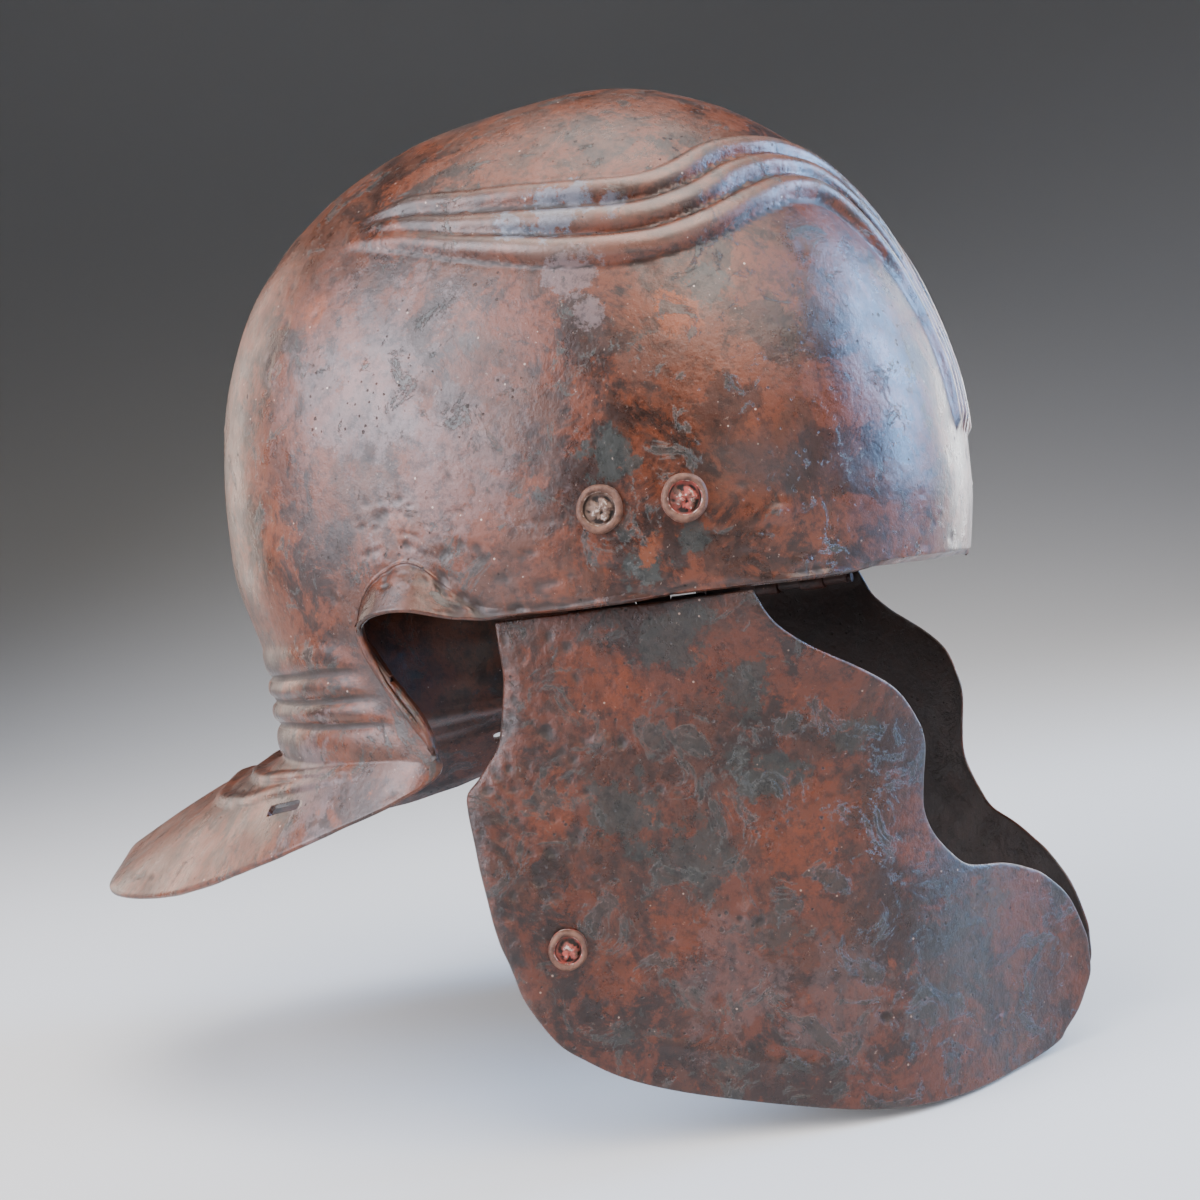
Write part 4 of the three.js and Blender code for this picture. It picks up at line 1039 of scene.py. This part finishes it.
# Patches of colour on the right cheek guard: colour, place along, depth, radius and strength; the lilac ones
# are painted sheen
GUARD_PATCHES = (
    (SLATE, 33, 45, 7, 0.85), (SLATE, 27, 40, 5, 0.8), (SLATE, 16, 8, 8, 0.8), (SLATE, 32, 20, 7, 0.8),
    (SLATE, -4, 50, 9, 0.8), (SLATE, 14, 66, 9, 0.75), (SLATE, 57, 38, 5, 0.75), (SLATE, 42, 46, 4, 0.8),
    (RUST, -22, 46, 7, 0.5), (RUST, -7, 17, 8, 0.55), (RUST, 38, 68, 10, 0.5), (RUST, 46, 55, 8, 0.45),
    (RUST, 2, 20, 5, 0.45), (RUST, 8, 84, 8, 0.4), (RUST, -12, 92, 7, 0.4), (RUST, 70, 72, 6, 0.4),
    (SLATE, 76, 100, 18, 0.6), (DARK, 58, 84, 13, 0.6), (LILAC_SHEEN, 20, 96, 15, 0.4),
    (LILAC_SHEEN, 45, 104, 15, 0.35), (RED, 50, 24, 9, 0.7), (SLATE, 30, 86, 6, 0.55),
)


def iron(name, rust_share, slate_share, pit_share, tone, grain, dullness, patches=()):
    """Waxed, patinated iron: brown layers with slate and rust patches, pits and a satin sheen; lilac patches
    are painted sheen and the wear layer brings painted shade.
    """
    n = Nodes(name)
    n.rag = n.sum(n.noise(110, 10, 0.74), -0.5)
    wear = n.add("ShaderNodeAttribute", attribute_name="wear").outputs["Fac"]
    colour = n.mix(n.ramp(n.noise(26, 10, 0.7, 0.5), 0.44, 0.56), DARK, BROWN)
    colour = n.cover(colour, n.ramp(n.noise(56, 10, 0.74, 0.6), 0.47, 0.56), 0.8, RED)
    for kind, centre, radius, strength in patches:
        colour = n.cover(colour, n.blob(centre, radius), strength, kind)
    slate = n.ramp(n.noise(78, 10, 0.76, 0.8), 0.57 - slate_share, 0.61 - slate_share)
    colour = n.cover(colour, slate, 0.72, SLATE)
    rust = n.ramp(n.noise(120, 10, 0.78, 0.5), 0.6 - rust_share, 0.68 - rust_share)
    colour = n.cover(colour, rust, 0.62, RUST)
    mottle = n.ramp(n.noise(300, 8, 0.78), 0.36, 0.64, 0.45, 1.5)
    colour = n.mix(1.0, colour, n.mix(mottle, (0, 0, 0), (1, 1, 1)), "MULTIPLY")
    colour = n.cover(colour, n.ramp(n.noise(620, 4, 0.7), 0.66, 0.72), 0.4, PALE)
    specks = n.times(n.ramp(n.cells(210), 0.075, 0.045), n.ramp(n.noise(60, 3), 0.5, 0.54))
    colour = n.cover(colour, specks, 0.85, PALE)
    pits = n.ramp(n.sum(n.cells(330), n.times(n.rag, 0.9)), 0.13, 0.04)
    pitted = n.times(pits, n.ramp(n.noise(42, 4), 0.47 - pit_share, 0.55 - pit_share))
    colour = n.cover(colour, pitted, 0.85, BLACK)
    # Below 0 the layer darkens: pits and dents, and painted shade in grooves, on inner faces and on the
    # knuckles
    low = n.ramp(wear, -0.05, -0.5)
    colour = n.cover(colour, low, 0.85, BLACK)
    colour = n.cover(colour, n.ramp(wear, 0.6, 2.2), 0.22, PALE)
    colour = n.mix(1.0, colour, tone, "MULTIPLY")
    roughness = n.ramp(n.noise(60, 7, 0.65), 0.35, 0.65, 0.24 + dullness, 0.4 + dullness)
    roughness = n.sum(n.sum(roughness, n.times(pitted, 0.25)), n.times(low, 0.2))
    height = n.times(n.noise(150, 7), 0.5)
    for share, strength in ((n.noise(520, 6, 0.7), 0.35), (pitted, -0.7), (slate, 0.12)):
        height = n.sum(height, n.times(share, strength))
    n.shader.inputs["Specular IOR Level"].default_value = 0.6
    return n.finish(colour, roughness, 0.15, height, 0.55, grain)


def bowl_patches():
    made = [(colour, skin(-azimuth, level), *rest) for colour, azimuth, level, *rest in BOWL_PATCHES]
    for colour, place, share, *rest in NECK_PATCHES:
        point = neck_spot(place, share)[0]
        made += [(colour, point, *rest), (colour, point * MIRROR, *rest)]
    return made


def guard_patches():
    return [(colour, guard_points(np.array([along]), np.array([down]))[0] * MIRROR, *rest)
            for colour, along, down, *rest in GUARD_PATCHES]


def rivet_iron(name, core_colour):
    """Rough corroded iron with pale worn crests and dark, reddish hollows."""
    n = Nodes(name)
    wear = n.add("ShaderNodeAttribute", attribute_name="wear").outputs["Fac"]
    mottled = n.ramp(n.noise(420, 6, 0.7), 0.35, 0.65)
    colour = n.mix(mottled, (0.1, 0.05, 0.035), core_colour)
    pale = n.ramp(n.noise(700, 5, 0.7), 0.5, 0.6)
    colour = n.cover(colour, n.ramp(wear, 0.2, 0.5), pale, (0.5, 0.4, 0.35))
    ring = n.mix(mottled, (0.075, 0.032, 0.02), (0.18, 0.085, 0.055))
    colour = n.mix(n.ramp(wear, 1.2, 1.4), colour, ring)
    colour = n.mix(n.ramp(wear, 0.05, -0.35), colour, BLACK)
    return n.finish(colour, n.ramp(mottled, 0, 1, 0.42, 0.65), 0.25, n.noise(900, 5, 0.7), 0.6, 0.6)


def plain_floor():
    made = bpy.data.materials.new("pale_floor")
    made.use_nodes = True
    shader = made.node_tree.nodes["Principled BSDF"]
    shader.inputs["Base Color"].default_value = (0.62, 0.61, 0.6, 1)
    shader.inputs["Roughness"].default_value = 0.85
    return made


# The helmet's pieces

bowl_iron = iron("bowl_iron", 0, 0, 0, (1.05, 1, 1), 0.7, 0, bowl_patches())
guard_iron = iron("guard_iron", 0.02, 0.03, 0.07, (0.64, 0.54, 0.5), 1.8, 0, guard_patches())
# Painted shade: the hinge's leaves and pins are a darker, duller copy of the iron, for the dark gap under
# the bowl's rim
hinge_iron = iron("hinge_iron", 0, 0, 0, (0.4, 0.37, 0.36), 0.8, 0.2)
brown_rivet = rivet_iron("rivet_iron_brown", (0.24, 0.15, 0.11))
red_rivet = rivet_iron("rivet_iron_red", (0.4, 0.08, 0.06))

bowl = make_piece("bowl_sheet", bowl_mesh(), "shell", "bowl", bowl_iron)
cut(bowl, [slot_cutter(1), slot_cutter(-1)])

for side, word in ((1, "left"), (-1, "right")):
    make_piece(f"cheek_guard_plate_{word}", guard_with_knuckles(side), f"guard_{word}",
               f"cheek_guard_{word}", guard_iron)
    for (along, level), where in zip(RIVET_PLACES, ("rear", "front")):
        azimuth = azimuth_along(along, level)
        head = rivet_mesh(skin(azimuth, level), skin_normal(azimuth, level), RIVET.head, RIVET.core,
                          RIVET.grip, side, BOWL_RIVET_ROUGHNESS)
        make_piece(f"bowl_rivet_{where}_head_{word}", head, "shell", f"bowl_rivet_{where}_{word}",
                   brown_rivet if where == "rear" else red_rivet)
    at = (np.array([TIE.along]), np.array([TIE.down]))
    out = guard_normals(*at)[0]
    spot = guard_points(*at)[0] + out * GUARD.plate / 2
    head = rivet_mesh(spot, out, TIE.head, TIE.core, TIE.grip, side, TIE_ROUGHNESS)
    make_piece(f"tie_rivet_head_{word}", head, f"guard_{word}", f"tie_rivet_{word}", red_rivet)
    for kind in ("hinge_leaf", "hinge_pin"):
        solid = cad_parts[f"{kind}_{word}"]
        solid.data.materials.clear()
        solid.data.materials.append(hinge_iron)

# Stage: a pale floor that sweeps up behind, soft studio lights and the photo's camera

CAMERA = Sizes(distance=450, azimuth=20, elevation=0.4, roll=7.4, pixels_per_mm=3.125, image=1200)
SENSOR = 36
# The floor in metres: its front end, where it starts to rise, the bend's radius, its top and its half width
FLOOR = Sizes(front=-8.0, flat=0.5, bend=2.4, top=4.0, half_width=10.0, steps=40, below=0.001)
# Direction and distance of each light, its size, power and colour
LIGHTS = (
    ("window", -42, 24, 1.3, (1.7, 1.3), 17, (0.86, 0.89, 1.0)),
    ("sky_front", 112, 18, 1.3, (0.5, 0.9), 9, (0.3, 0.56, 1.0)),
    ("pale_front", 152, 8, 1.3, (0.4, 0.9), 2.5, (0.95, 0.97, 1.0)),
    ("warm_back", -108, 14, 1.3, (0.5, 1.1), 1.4, (1.0, 0.84, 0.74)),
    ("overhead", 20, 84, 1.2, (1.2, 1.2), 5, (1.0, 0.98, 0.95)),
    ("soft_side", 52, 44, 1.4, (1.3, 1.1), 7, (1.0, 0.94, 0.87)),
    ("fill", 64, -10, 1.5, (0.9, 0.35), 2, (1.0, 0.92, 0.84)),
)
LIGHT_SPREAD = 80


def view_direction(azimuth, elevation):
    """From the helmet towards a viewer on the wearer's right; azimuth turns towards the front."""
    a = math.radians(azimuth)
    e = math.radians(elevation)
    return Vector((-math.cos(a) * math.cos(e), -math.sin(a) * math.cos(e), math.sin(e)))


def add_camera():
    towards = view_direction(CAMERA.azimuth, CAMERA.elevation)
    a = math.radians(CAMERA.azimuth)
    level_right = Vector((math.sin(a), -math.cos(a), 0))
    level_up = towards.cross(level_right)
    roll = math.radians(CAMERA.roll)
    right = math.cos(roll) * level_right - math.sin(roll) * level_up
    up = math.sin(roll) * level_right + math.cos(roll) * level_up
    data = bpy.data.cameras.new("camera")
    data.sensor_width = SENSOR
    data.lens = SENSOR * CAMERA.distance * CAMERA.pixels_per_mm / CAMERA.image
    data.clip_start = 0.01
    camera = bpy.data.objects.new("camera", data)
    bpy.context.scene.collection.objects.link(camera)
    matrix = Matrix((right, up, towards)).transposed().to_4x4()
    matrix.translation = towards * CAMERA.distance * MM
    camera.matrix_world = matrix
    bpy.context.scene.camera = camera


def add_floor(height):
    """A floor that sweeps up into a wall behind the helmet, seen from the camera."""
    away = -view_direction(CAMERA.azimuth, 0)
    sideways = away.cross(Vector((0, 0, 1)))
    f = FLOOR
    profile = [(f.front, 0.0)]
    profile += [(f.flat + f.bend * math.sin(t), f.bend * (1 - math.cos(t)))
                for t in np.linspace(0, math.pi / 2, f.steps)]
    profile.append((f.flat + f.bend, f.top))
    points = []
    for reach, rise in profile:
        for across in (-f.half_width, f.half_width):
            p = away * reach + sideways * across
            points.append((p.x, p.y, height + rise))
    faces = [(2 * k, 2 * k + 1, 2 * k + 3, 2 * k + 2) for k in range(len(profile) - 1)]
    mesh = bpy.data.meshes.new("floor")
    mesh.from_pydata(points, [], faces)
    mesh.shade_smooth()
    mesh.materials.append(plain_floor())
    floor = bpy.data.objects.new("floor", mesh)
    bpy.context.scene.collection.objects.link(floor)


def add_light(name, azimuth, elevation, distance, size, energy, colour):
    """A soft square light seen from the helmet in a direction, turned towards it."""
    data = bpy.data.lights.new(name, "AREA")
    data.shape = "RECTANGLE"
    data.size, data.size_y = size
    data.energy = energy
    data.color = colour
    data.spread = math.radians(LIGHT_SPREAD)
    light = bpy.data.objects.new(name, data)
    bpy.context.scene.collection.objects.link(light)
    direction = view_direction(azimuth, elevation)
    light.location = direction * distance
    light.rotation_euler = direction.to_track_quat("Z", "Y").to_euler()


add_camera()
lowest = min(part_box(name)[0].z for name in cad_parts)
add_floor(lowest - FLOOR.below)
for light_values in LIGHTS:
    add_light(*light_values)

world = bpy.data.worlds.new("studio")
bpy.context.scene.world = world
world.use_nodes = True
backdrop = world.node_tree.nodes["Background"]
backdrop.inputs["Color"].default_value = (0.5, 0.51, 0.53, 1)
backdrop.inputs["Strength"].default_value = 0.16
